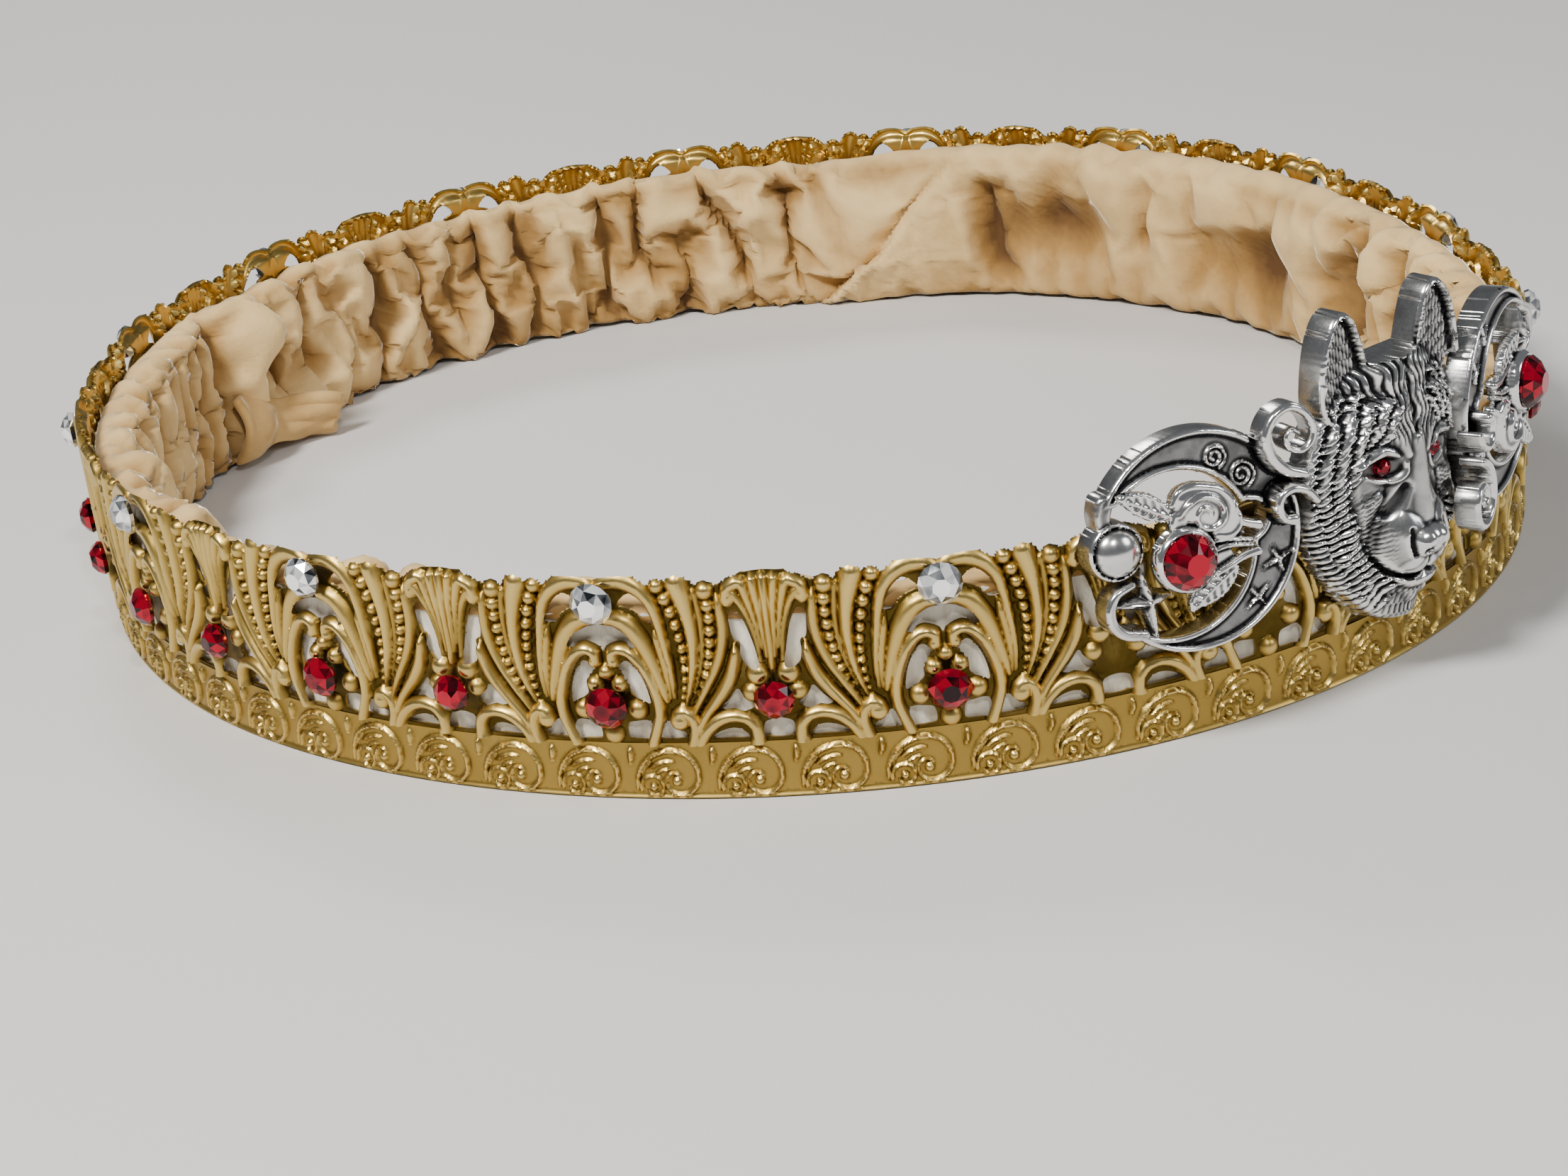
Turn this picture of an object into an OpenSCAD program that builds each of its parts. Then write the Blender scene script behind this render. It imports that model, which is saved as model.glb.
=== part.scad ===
// Coronet: a pierced, stamped gilt band with a felt strip and a gathered velvet lining,
// two rows of round stones, and an animal head between two crescents on its front.
// Millimetres, +Z up. The head faces -Y, and the base of the band lies on Z = 0.

/* [Band] */
// Mean radius of the band's outer face, seen from above
mean_radius = 88.9; // [86:0.1:94]
// Height of the band from its base to the highest humps
band_h = 25.4; // [25:0.1:27]
// Thickness of the stamped metal
band_wall = 0.9; // [0.7:0.1:1.2]
// How far the stamped ribs stand proud of the metal
rib_rise = 0.6; // [0.4:0.1:0.8]
// Number of times the pattern repeats round the band
repeats = 16; // [16:1:16]
// Height of the scroll border at the base
border_h = 6.4; // [6:0.1:6.6]

/* [Fabric] */
// Height of the felt strip
felt_h = 21.6; // [20:0.1:22.5]
// Thickness of the felt strip
felt_wall = 1.2; // [1:0.1:1.6]
// Height of the gathered lining at its highest
lining_h = 23.4; // [22:0.1:23.8]
// Thickness of the lining measured towards the middle of the coronet
lining_wall = 1.6; // [1.4:0.1:2]
// How far the lining puffs inwards between its gathers
lining_puff = 4.2; // [3:0.1:5]

/* [Stones] */
// Diameter of the clear stones at the arch tops
clear_d = 4.6; // [4:0.1:5]
// Diameter of the red stones of the band
red_d = 4.2; // [3.8:0.1:4.6]
// Diameter of the red stones in the roses
rose_stone_d = 5.8; // [5:0.1:6]
// Diameter of the red stones in the head's eyes
eye_d = 1.5; // [1.3:0.1:1.8]

/* [Castings] */
// How far the middle of the head sits from the middle of the fan behind it
head_shift = -3.4; // [-3.6:0.1:-3.2]
// Distance along the band from the middle of the fan to the middle of the left crescent
crescent_left_s = 27; // [26.8:0.1:27.6]
// Distance along the band from the middle of the fan to the middle of the right crescent
crescent_right_s = 15.1; // [14.8:0.1:15.6]
// Outer radius of the crescents
crescent_r = 11.5; // [11.2:0.1:11.8]
// Thickness of the crescents
crescent_t = 2.8; // [2.6:0.1:3]
// Thickness of the ears
ear_t = 3.2; // [3:0.1:3.6]
// Height of the left crescent's middle above the base
crescent_left_z = 22.8; // [22:0.1:24]
// Height of the right crescent's middle above the base
crescent_right_z = 25.8; // [25.5:0.1:26.2]
// How far the top of the left crescent leans back, in degrees
crescent_left_lean = 6; // [4:1:7]
// How far the outer edge of the right crescent turns inwards, in degrees
crescent_right_turn = 6.7; // [6:0.1:7.5]

/* [Hidden] */
side_names = ["left", "right"];
labels = ["01", "02", "03", "04", "05", "06", "07", "08", "09", "10", "11", "12", "13", "14"];
first_arch = 1.5;   // the arches and fans nearer the front than these carry no stone
first_fan = 2;
arch_count = 14;
fan_count = 13;

gap = 0.15;         // clearance between a piece and what carries it
layer_gap = 0.2;    // clearance between metal, felt and velvet

// Plan of the band: the ring is a little longer than it is wide, with soft flats.
// Columns: number of waves round the ring, their size, and the angle of the first crest
plan_waves = [
    [2, 3.76, 6.4],
    [3, 0.74, -7.5],
    [4, 1.06, 7.2],
    [5, 0.31, 25.8]];
function plan_r(a, i = 0) = i == len(plan_waves) ? mean_radius :
    plan_waves[i][1] * cos(plan_waves[i][0] * (a - plan_waves[i][2])) + plan_r(a, i + 1);
function plan_point(a) = plan_r(a) * [sin(a), -cos(a)];
function heading(a) = let (d = plan_point(a + 0.5) - plan_point(a - 0.5)) atan2(d.y, d.x);
plan_steps = 360;
chords = [for (i = [0:plan_steps - 1])
    norm(plan_point((i + 1) * 360 / plan_steps) - plan_point(i * 360 / plan_steps))];
angle_table = [for (i = 0, run = 0; i <= plan_steps;
    run = run + (i < plan_steps ? chords[i] : 0), i = i + 1) [run, i * 360 / plan_steps]];
girth = angle_table[plan_steps][0];
repeat = girth / repeats;
function angle_at(s) = lookup((s % girth + girth) % girth, angle_table);
function wall_point(s, inward) = let (a = angle_at(s), h = heading(a))
    plan_point(a) - inward * [sin(h), -cos(h)];

// Places its children on the band: x runs along the band, y upwards and z outwards
module on_band(s, z = 0, out = 0) {
    a = angle_at(s);
    p = plan_point(a);
    translate([p.x, p.y, z])
        rotate([0, 0, heading(a)])
            rotate([90, 0, 0])
                translate([0, 0, out])
                    children();
}

// The ring has four flats to a repeat: one behind each arch and fan, and one between them
flats = repeats * 4;
flat_w = girth / flats;
module plan_ring(inward, wall) {
    outer = [for (i = [0:flats - 1]) wall_point((i + 0.5) * flat_w, inward)];
    inner = [for (i = [0:flats - 1]) wall_point((i + 0.5) * flat_w, inward + wall)];
    polygon(concat(outer, inner),
        paths = [[for (i = [0:flats - 1]) i], [for (i = [0:flats - 1]) flats + i]]);
}

// Places its children on flat number i, square to it: x runs along the band
module on_flat(i) {
    a = wall_point((i - 0.5) * flat_w, 0);
    b = wall_point((i + 0.5) * flat_w, 0);
    p = (a + b) / 2;
    translate([p.x, p.y, 0])
        rotate([0, 0, atan2(b.y - a.y, b.x - a.x)])
            rotate([90, 0, 0])
                children();
}

// Stamped pattern, drawn flat. Half a repeat runs from the middle of the arch (0)
// to the middle of the fan, and the other half is its mirror image.
half = repeat / 2;
drawn_h = 25.4;     // height of the band in the drawing
// Columns: start u, start v, middle u, middle v, end u, end v, width at start, width at end, steps
arch_ribs = [
    [0.9, 24.2, 5.5, 22.2, 7.4, 11.0, 1.5, 0.6, 4],
    [1.0, 20.5, 4.9, 18.2, 6.1, 11.2, 1.5, 0.9, 3]];
horseshoe_ribs = [[0.6, 16.5, 4.5, 14.2, 4.4, 6.0, 1.3, 1.2, 4]];
leaf_ribs = [[9.0, 24.6, 9.8, 18.2, 8.4, 11.0, 2.2, 0.6, 3]];
fan_side_ribs = [
    [13.2, 23.4, 12.8, 16.5, 9.3, 10.3, 1.2, 0.9, 3],
    [15.1, 7.3, 13.4, 10.0, 9.3, 6.9, 1.7, 0.9, 3]];
fan_ribs = [
    [13.5, 23.0, 15.6, 22.0, 16.9, 17.6, 1.8, 0.6, 2],
    [15.4, 24.1, 16.4, 21.5, 17.1, 17.0, 1.7, 0.6, 2],
    [17.5, 24.5, 17.5, 20.5, 17.5, 13.0, 1.7, 1.3, 2]];
// Columns: u, v, radius of the small bosses of the flowers under the red stones
arch_bosses = [[1.5, 13.6, 0.9], [3.05, 11.0, 1.1]];
arch_mid_bosses = [[0, 15.3, 0.7], [0, 7.9, 1.1]];
fan_bosses = [[-1.4, 14.5, 1.2], [-2.9, 12.3, 1.1]];
hook_boss = [7.9, 9.8, 1.25];
// Columns: u, v, width, height, lean in degrees, narrowing towards the top
crown_gap = [0, 18.6, 6.4, 2.5, 0, 0.25];
horseshoe_gap = [2.95, 13.9, 1.5, 4.2, 22, 0.1];
eye_gap = [4.3, 21.8, 1.9, 4.0, 50, 0.1];
stem_gap = [-2.75, 18.8, 1.9, 6.0, 8, -0.2];
// Columns: middle u, top v, radius of the humps along the top edge
edge_humps = [
    [3.1, 25.4, 3.7],
    [6.9, 24.9, 1.0],
    [9.0, 25.4, 1.8],
    [11.8, 24.4, 1.2],
    [17.5, 25.4, 5.2]];
edge_dip = 23.6;    // lowest level of the top edge
arch_stone_v = 11.1;
fan_stone_v = 11.7;
clear_stone_v = 22.7;
seat_part = 0.52;   // radius of a stone's seat as a part of the stone's diameter
seat_rise = rib_rise + 0.25;

function on_rib(r, t) = let (a = [r[0], r[1]], m = [r[2], r[3]], b = [r[4], r[5]], c = 2 * m - (a + b) / 2)
    (1 - t) * (1 - t) * a + 2 * t * (1 - t) * c + t * t * b;
function rib_side(r, t, side) = let (
    d = on_rib(r, t + 0.02) - on_rib(r, t - 0.02),
    w = r[6] + (r[7] - r[6]) * t)
    on_rib(r, t) + side * w / 2 * [d.y, -d.x] / norm(d);
module rib(r) {
    polygon(concat(
        [for (i = [0:r[8]]) rib_side(r, i / r[8], 1)],
        [for (i = [r[8]:-1:0]) rib_side(r, i / r[8], -1)]));
}
module mirrored() {
    children();
    mirror([1, 0, 0]) children();
}
function egg(g) = [for (a = [0:45:315]) let (
    x = g[2] / 2 * cos(a) * (1 - g[5] * sin(a)), y = g[3] / 2 * sin(a))
    [g[0] + x * cos(g[4]) - y * sin(g[4]), g[1] + x * sin(g[4]) + y * cos(g[4])]];

// Raised work: a plate that starts inside the metal and stands proud of it
module raised(rise) {
    translate([0, 0, -band_wall / 2]) linear_extrude(band_wall / 2 + rise) children();
}
module boss(b, rise) {
    translate([b[0], b[1], -band_wall / 2]) cylinder(r = b[2], h = band_wall / 2 + rise);
}
// Cutter that runs right through the band
module through() {
    translate([0, 0, -3]) linear_extrude(8) children();
}
module arch_relief(seats) {
    mirrored() {
        for (r = arch_ribs) raised(rib_rise) rib(r);
        for (r = horseshoe_ribs) raised(rib_rise * 1.1) rib(r);
        for (b = arch_bosses) boss(b, rib_rise * 0.9);
    }
    for (b = arch_mid_bosses) boss(b, rib_rise * 0.8);
    if (seats) {
        boss([0, arch_stone_v, red_d * seat_part], seat_rise);
        boss([0, clear_stone_v, clear_d * seat_part], seat_rise);
    }
}
module fan_relief(seats) {
    mirrored() {
        for (r = fan_ribs) raised(rib_rise * 1.05) translate([-half, 0]) rib(r);
        for (b = fan_bosses) boss(b, rib_rise * 0.9);
    }
    if (seats) boss([0, fan_stone_v, red_d * seat_part], seat_rise);
}
// Ribs between arch and fan; the flat's middle is a quarter of a repeat from the arch
module between_relief() {
    translate([-repeat / 4, 0, 0]) {
        for (r = leaf_ribs) raised(rib_rise * 0.92) rib(r);
        for (r = fan_side_ribs) raised(rib_rise * 0.84) rib(r);
        boss(hook_boss, rib_rise);
    }
}
// Border scroll: a ring round a small boss
scroll_r = 2.2;
scroll_line = 0.5;
scroll_rise = rib_rise * 0.6;
module border_scroll() {
    translate([1.0, border_h / 2, -band_wall / 2]) {
        difference() {
            cylinder(r = scroll_r, h = band_wall / 2 + scroll_rise);
            translate([0, 0, -1]) cylinder(r = scroll_r - scroll_line, h = band_wall + scroll_rise + 1);
        }
    }
    boss([-2.4, border_h * 0.3, scroll_r / 2], scroll_rise * 0.8);
}
// What lies above the top edge over one half of a repeat
module above_edge() {
    difference() {
        translate([0, edge_dip]) square([half, band_h + 3 - edge_dip]);
        for (h = edge_humps) translate([h[0], h[1] - h[2] + band_h - drawn_h]) circle(h[2]);
    }
}
bare_arches = [0, 15];      // repeats whose arch is hidden and carries no stones
bare_fans = [0, 1, 15];
function has(list, k) = len([for (v = list) if (v == k) v]) > 0;

// Gilt band: stamped ribs, flower bosses and border on a thin wall, pierced through
module band() {
    color("darkgoldenrod") difference() {
        union() {
            linear_extrude(band_h) plan_ring(0, band_wall);
            for (k = [0:repeats - 1]) {
                on_flat(4 * k) fan_relief(!has(bare_fans, k));
                on_flat(4 * k + 2) arch_relief(!has(bare_arches, k));
                on_flat(4 * k + 1) mirror([1, 0, 0]) between_relief();
                on_flat(4 * k + 3) between_relief();
                for (j = [0:3]) on_flat(4 * k + j) border_scroll();
            }
        }
        for (k = [0:repeats - 1]) {
            on_flat(4 * k + 2) through() {
                polygon(egg(crown_gap));
                mirrored() {
                    polygon(egg(horseshoe_gap));
                    polygon(egg(eye_gap));
                }
            }
            on_flat(4 * k) through() mirrored() polygon(egg(stem_gap));
            for (side = [-1, 1])
                on_flat(4 * k + 2 + side) through()
                    mirror([side < 0 ? 1 : 0, 0]) translate([-repeat / 4, 0]) above_edge();
        }
    }
}

// Felt strip behind the metal
felt_foot = 0.2;
module backing() {
    color("ivory") translate([0, 0, felt_foot])
        linear_extrude(felt_h - felt_foot) plan_ring(band_wall + layer_gap, felt_wall);
}

// Gathered lining. The wall follows the band and puffs inwards, and each row below is
// a valley where a gather pulls it back.
// Columns: place in repeats from the front, half width, depth, lean from base to top
gathers = [
    [-0.4, 6, 1.6, 1], [-1.1, 5, 1.8, -2], [-1.7, 6, 1.4, 2], [-2.3, 5, 2.0, -1],
    [-2.9, 6, 1.7, 2], [-3.5, 5, 2.2, 1], [-4.0, 5, 2.2, -2], [-4.5, 4, 2.6, 2],
    [-4.95, 5, 2.4, -3], [-5.4, 4, 2.8, 2], [-5.75, 4, 2.6, -2], [-6.1, 4, 3.0, 3],
    [-6.5, 4, 2.8, -1], [-6.85, 4, 3.0, 2], [-7.2, 4, 2.8, -2], [-7.55, 3.5, 3.0, 1],
    [-7.9, 4, 3.0, 3], [-8.3, 4, 2.8, -2], [-8.75, 5, 3.0, 4], [-9.3, 5, 2.4, -3],
    [-9.9, 8, 2.2, -5], [-10.7, 7, 2.6, 3], [-11.2, 5, 2.4, 0], [-11.9, 9, 2.2, 4],
    [-12.8, 9, 2.0, -4], [-13.7, 7, 1.8, 2], [-14.4, 6, 1.6, -1], [-15.2, 6, 1.6, 2]];
// Columns: height as a part of the lining's height, share of the puff at that height
lining_levels = [[0, 0.3], [0.16, 0.9], [0.42, 1.0], [0.7, 1.0], [0.91, 0.75], [1, 0.1]];
lining_from = band_wall + layer_gap + felt_wall + layer_gap;
lining_stations = 216;
function near(s, at) = let (d = ((s - at) % girth + girth) % girth) d > girth / 2 ? d - girth : d;
function valley(s, level, i = 0) = i == len(gathers) ? 0 : let (
    g = gathers[i], d = near(s, g[0] * repeat + g[3] * (level - 0.5)) / g[1])
    (abs(d) < 2.5 ? g[2] * exp(-d * d) : 0) + valley(s, level, i + 1);
function puff(s, row) = let (v = valley(s, row[0]))
    lining_puff * row[1] * (1 + 0.25 * sin(s * 360 * 23 / girth)) - min(v, lining_puff) * row[1] * 0.85;
// Columns: place in repeats counter-clockwise from the front, drop of the top edge
top_drop = [[0, 2.4], [1.2, 1.9], [2.4, 0.3], [5.2, 0], [6.3, 2.2], [9, 2.6], [16, 2.4]];
function lining_top(s) = lining_h - lookup(s / repeat, top_drop) - 0.35 * valley(s, 1);
module lining() {
    n = len(lining_levels);
    points = [for (i = [0:lining_stations - 1]) let (s = i * girth / lining_stations)
        for (j = [0:2 * n - 1]) let (
            row = lining_levels[j < n ? j : 2 * n - 1 - j],
            p = wall_point(s, lining_from + max(puff(s, row), 0) + (j < n ? lining_wall : 0)))
            [p.x, p.y, 0.3 + row[0] * (lining_top(s) - 0.3)]];
    faces = [for (i = [0:lining_stations - 1]) for (j = [0:2 * n - 1]) let (
        a = i * 2 * n + j,
        b = i * 2 * n + (j + 1) % (2 * n),
        c = (i + 1) % lining_stations * 2 * n + (j + 1) % (2 * n),
        d = (i + 1) % lining_stations * 2 * n + j)
        for (t = [[a, c, b], [a, d, c]]) t];
    color("navajowhite") polyhedron(points, faces);
}

// Cut stone with a flat back: a table, eight star facets and eight main facets
crown_part = 0.28;  // heights as parts of the diameter
girdle_part = 0.12;
table_part = 0.62;  // size of the table as a part of the girdle
function ring8(r, z, turn) = [for (i = [0:7]) [r * cos(45 * i + turn), r * sin(45 * i + turn), z]];
module cut_stone(d) {
    r = d / 2;
    polyhedron(
        concat(
            ring8(r, 0, 0),
            ring8(r, d * girdle_part, 0),
            ring8(r * table_part, d * (girdle_part + crown_part), 22.5)),
        concat(
            [[0, 1, 2, 3, 4, 5, 6, 7], [23, 22, 21, 20, 19, 18, 17, 16]],
            [for (i = [0:7]) let (k = (i + 1) % 8) [i, 8 + i, 8 + k, k]],
            [for (i = [0:7]) let (k = (i + 1) % 8) [8 + i, 16 + i, 8 + k]],
            [for (i = [0:7]) let (k = (i + 1) % 8) [16 + i, 16 + k, 8 + k]]));
}
stone_out = seat_rise + gap;
module clear_stone(i) {
    color("whitesmoke") on_band((first_arch + i) * repeat, clear_stone_v, stone_out) cut_stone(clear_d);
}
module arch_stone(i) {
    color("crimson") on_band((first_arch + i) * repeat, arch_stone_v, stone_out) cut_stone(red_d);
}
module fan_stone(i) {
    color("crimson") on_band((first_fan + i) * repeat, fan_stone_v, stone_out) cut_stone(red_d);
}

// The castings lie on the ribs of the band
casting_out = rib_rise * 1.1 + gap;
module on_head() {
    on_band(head_shift, 0, casting_out) children();
}

// Animal head, lofted through level sections from the chin to the crown.
// Columns: height, half width, depth of the face, extra depth of the muzzle, muzzle half width
head_rows = [
    [8.0, 3.0, 4.1, 0.2, 2.4],
    [9.6, 5.0, 4.5, 0.6, 2.6],
    [12.3, 7.4, 5.0, 1.4, 3.0],
    [15.0, 9.4, 5.4, 2.3, 3.2],
    [17.4, 10.8, 5.6, 2.8, 3.0],
    [19.4, 11.6, 5.9, 2.3, 2.6],
    [22.0, 12.3, 6.2, 1.2, 2.4],
    [24.6, 12.6, 6.2, 0.6, 2.6],
    [27.0, 12.3, 6.0, 0.3, 3.0],
    [29.6, 11.4, 5.9, 0.3, 3.6],
    [32.4, 10.0, 5.3, 0.2, 4.0],
    [35.0, 7.6, 4.2, 0.1, 4.0],
    [36.6, 5.0, 3.0, 0, 4.0]];
head_edge = 1.5;    // thickness of the ruff at its edge
head_steps = 18;
function face_depth(r, x) = let (u = x / r[1])
    head_edge + (r[2] - head_edge) * pow(max(0, 1 - u * u), 0.6) + r[3] * exp(-pow(x / r[4], 2) * 1.4);
module head_form() {
    n = head_steps + 3;
    m = len(head_rows);
    points = [for (r = head_rows) each concat(
        [for (i = [0:head_steps]) let (x = r[1] * (2 * i / head_steps - 1)) [x, r[0], face_depth(r, x)]],
        [[r[1], r[0], 0], [-r[1], r[0], 0]])];
    faces = concat(
        [[for (j = [0:n - 1]) j]],
        [for (i = [0:m - 2]) for (j = [0:n - 1]) let (k = (j + 1) % n)
            each [[i * n + j, (i + 1) * n + k, i * n + k], [i * n + j, (i + 1) * n + j, (i + 1) * n + k]]],
        [[for (j = [n - 1:-1:0]) (m - 1) * n + j]]);
    polyhedron(points, faces);
}
// Ear outline. Columns: x, height
ear_outline = [[2.6, 33.0], [3.4, 36.4], [4.5, 39.4], [5.7, 41.9], [6.8, 42.8], [7.9, 42.2],
    [9.2, 39.6], [10.1, 36.4], [10.2, 33.0], [8.0, 30.5]];
ear_middle = [6.5, 36.6];
ear_dish = 1.3;
module ear() {
    difference() {
        linear_extrude(ear_t) polygon(ear_outline);
        translate([0, 0, ear_t - ear_dish]) linear_extrude(ear_dish + 1)
            translate(ear_middle) scale([0.66, 0.78]) translate(-ear_middle) polygon(ear_outline);
    }
}
// The crescents lie in front of the ruff, which is cut back round them and their curls
rebate_under = 4;
rebate_h = 12;
module rebate(side) {
    on_crescent(side) {
        translate([0, 0, -rebate_under]) cylinder(r = crescent_r + gap, h = rebate_h);
        for (c = [curls[0], curls[2]])
            translate([c[0], c[1], c[6] - gap]) cylinder(r = c[2] + gap, h = rebate_h);
    }
}
module wolf_head() {
    color("silver") difference() {
        on_head() union() {
            head_form();
            ear();
            mirror([1, 0, 0]) ear();
        }
        for (side = [-1, 1]) rebate(side);
    }
}
// The eyes lie on the face and look outwards
eye_x = 4.7;
eye_z = 26.8;
eye_turn = 22;
eye_row = 8;
module eye(side) {
    depth = face_depth(head_rows[eye_row], eye_x);
    color("crimson") on_head()
        translate([side * eye_x, eye_z, depth + eye_d * 0.2]) rotate([0, side * eye_turn, 0])
            cut_stone(eye_d);
}

// Crescents: a thick plate with a raised rim, open on the side away from the head.
// The drawing is of the left one, and the right one is the same casting turned half round.
inner_c = [-2.6, -0.8];
inner_r = 8.5;
rim = 0.5;
face_dip = 0.3;
cup_at = [-8.9, 0.9];
cup_r = 2.95;
horn_low = -3.4;
horn_high = 5.4;
module crescent_plan(edge) {
    difference() {
        circle(crescent_r - edge);
        translate(inner_c) circle(inner_r + edge);
        translate([-crescent_r - 1, horn_low - 4]) square([6, horn_high - horn_low + 4]);
    }
}
// Columns: x, y, reach of the long arms, reach of the short arms, turn
star_rows = [[8.4, -3.8, 1.7, 0.9, 20], [5.9, -7.2, 1.4, 0.8, 35]];
bridge_star = [-6.3, -5.0, 3.6, 3.0, 10];
function star_points(r) = [for (i = [0:7]) let (
    d = i % 2 == 1 ? r[3] * 0.28 : (i % 4 == 0 ? r[3] : r[2]), a = i * 45 + r[4])
    [r[0] + d * cos(a), r[1] + d * sin(a)]];
spiral_rows = [[3.1, 8.1, 1.2], [5.7, 5.6, 1.4]];
// Columns: x, y, radius, start angle, sweep of the hook that closes the lower horn
hook_rows = [[0, 0, 11.3, 200, 45], [-8.7, -4.2, 2.1, 45, 140]];
hook_w = 1.2;
// Curls beside the head, on the crescent's edge.
// Columns: x, y, outer radius, start angle, sweep, line width, level of the back, thickness
curls = [
    [9.9, 9.1, 2.7, -80, 330, 0.7, 2.2, 3.0],
    [10.3, 8.6, 1.7, 110, 220, 0.6, 2.4, 2.6],
    [10.4, 2.1, 1.6, 20, 230, 0.7, 2.1, 2.6]];
module curl(c) {
    translate([c[0], c[1], c[6]])
        rotate([0, 0, c[3]])
            rotate_extrude(angle = c[4], $fn = 48)
                translate([c[2] - c[5], 0]) square([c[5], c[7]]);
}
// Dome in the cup. Columns: radius, height
dome_profile = [[0, 0], [2.55, 0], [2.45, 0.7], [1.9, 1.35], [1.05, 1.75], [0.4, 1.9], [0, 1.9]];
module crescent_body() {
    for (c = curls) curl(c);
    difference() {
        linear_extrude(crescent_t) crescent_plan(0);
        translate([0, 0, crescent_t - face_dip]) linear_extrude(1) crescent_plan(rim);
    }
    for (r = spiral_rows) translate([r[0], r[1], crescent_t / 2]) rotate_extrude($fn = 32)
        translate([r[2] - 0.4, 0]) square([0.4, crescent_t / 2]);
    for (r = star_rows) translate([0, 0, crescent_t / 2])
        linear_extrude(crescent_t / 2 + 0.2) polygon(star_points(r));
    for (r = hook_rows) translate([r[0], r[1], 0]) rotate([0, 0, r[3]])
        rotate_extrude(angle = r[4], $fn = 48)
            translate([r[2] - hook_w, 0]) square([hook_w, crescent_t - 0.1]);
    translate([0, 0, 1]) linear_extrude(crescent_t - 0.6) polygon(star_points(bridge_star));
    translate([cup_at.x, cup_at.y, 0]) cylinder(r = cup_r, h = crescent_t + 0.15);
    translate([cup_at.x, cup_at.y, crescent_t - 0.2]) rotate_extrude() polygon(dome_profile);
    // Neck that joins the upper horn to the cup
    translate([-10.4, 2.5, 0]) cube([1.6, 4.0, crescent_t - 0.15]);
}
function crescent_s(side) = side < 0 ? -crescent_left_s : crescent_right_s;
function crescent_z(side) = side < 0 ? crescent_left_z : crescent_right_z;
function crescent_lean(side) = side < 0 ? crescent_left_lean : 0;
function crescent_turn(side) = side < 0 ? 0 : crescent_right_turn;
// Lean and turn would sink the plate into the band, so the plate stands a little proud
function crescent_seat(side) = max(0, band_h - crescent_z(side) + 0.6) * sin(crescent_lean(side))
    + mean_radius * (1 - cos(crescent_turn(side)));
half_round = 171.7; // the right casting stops a little short of half a turn
module on_crescent(side) {
    on_band(crescent_s(side), crescent_z(side), casting_out + crescent_seat(side))
        rotate([-crescent_lean(side), crescent_turn(side), 0])
            rotate([0, 0, side < 0 ? 0 : half_round]) children();
}
module crescent(side) {
    color("silver") on_crescent(side) crescent_body();
}

// Rose: bloom, leaves and stone cup, lying across the opening of the crescent
rose_cup_at = [-2.5, -0.9];
rose_foot = crescent_t + gap;
// Columns: x, y, length, width, turn
leaf_rows = [[-5.4, 4.6, 7.0, 3.0, 150], [1.6, -4.2, 7.4, 3.2, 233], [5.0, 1.0, 5.6, 2.2, 10]];
module leaf(r) {
    reach = r[2] / 2;
    bow = (reach * reach - r[3] * r[3] / 4) / r[3];
    translate([r[0], r[1]]) rotate(r[4]) intersection() {
        translate([0, bow]) circle(bow + r[3] / 2);
        translate([0, -bow]) circle(bow + r[3] / 2);
    }
}
// Columns: radius of the petal's rim, thickness of the rim, height
petal_rows = [[2.9, 0.5, 1.5], [1.9, 0.45, 2.1], [0.9, 0.45, 2.5]];
bloom_at = [0.6, 3.4];
// Web behind the bloom and the cup, with the stem's end at its right
web_outline = [[-3.0, 3.4], [-1.0, -4.0], [3.6, -3.2], [5.4, -2.3], [5.4, -1.3], [3.0, -1.0], [4.0, 2.0]];
cup_h = 1.7;
module rose_body() {
    for (r = leaf_rows) linear_extrude(0.9) leaf(r);
    linear_extrude(0.8) polygon(web_outline);
    translate([bloom_at.x, bloom_at.y, 0]) rotate_extrude($fn = 40)
        for (p = petal_rows) {
            square([p[0], p[2] - 0.5]);
            translate([p[0] - p[1], 0]) square([p[1], p[2]]);
        }
    translate([rose_cup_at.x, rose_cup_at.y, 0]) cylinder(r = rose_stone_d / 2 + 0.45, h = cup_h);
}
module rose(side) {
    color("gainsboro") on_crescent(side) translate([0, 0, rose_foot]) rose_body();
}
module rose_stone(side) {
    color("crimson") on_crescent(side)
        translate([rose_cup_at.x, rose_cup_at.y, rose_foot + cup_h + gap]) cut_stone(rose_stone_d);
}

band();
backing();
lining();
wolf_head();
for (i = [0, 1]) {
    side = 2 * i - 1;
    crescent(side);
    rose(side);
    rose_stone(side);
    eye(side);
}
for (i = [0:arch_count - 1]) {
    clear_stone(i);
    arch_stone(i);
}
for (i = [0:fan_count - 1])
    fan_stone(i);
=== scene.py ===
import math
import random
from contextlib import contextmanager

import bmesh
import bpy
import numpy as np
from mathutils import Matrix, Vector


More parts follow.
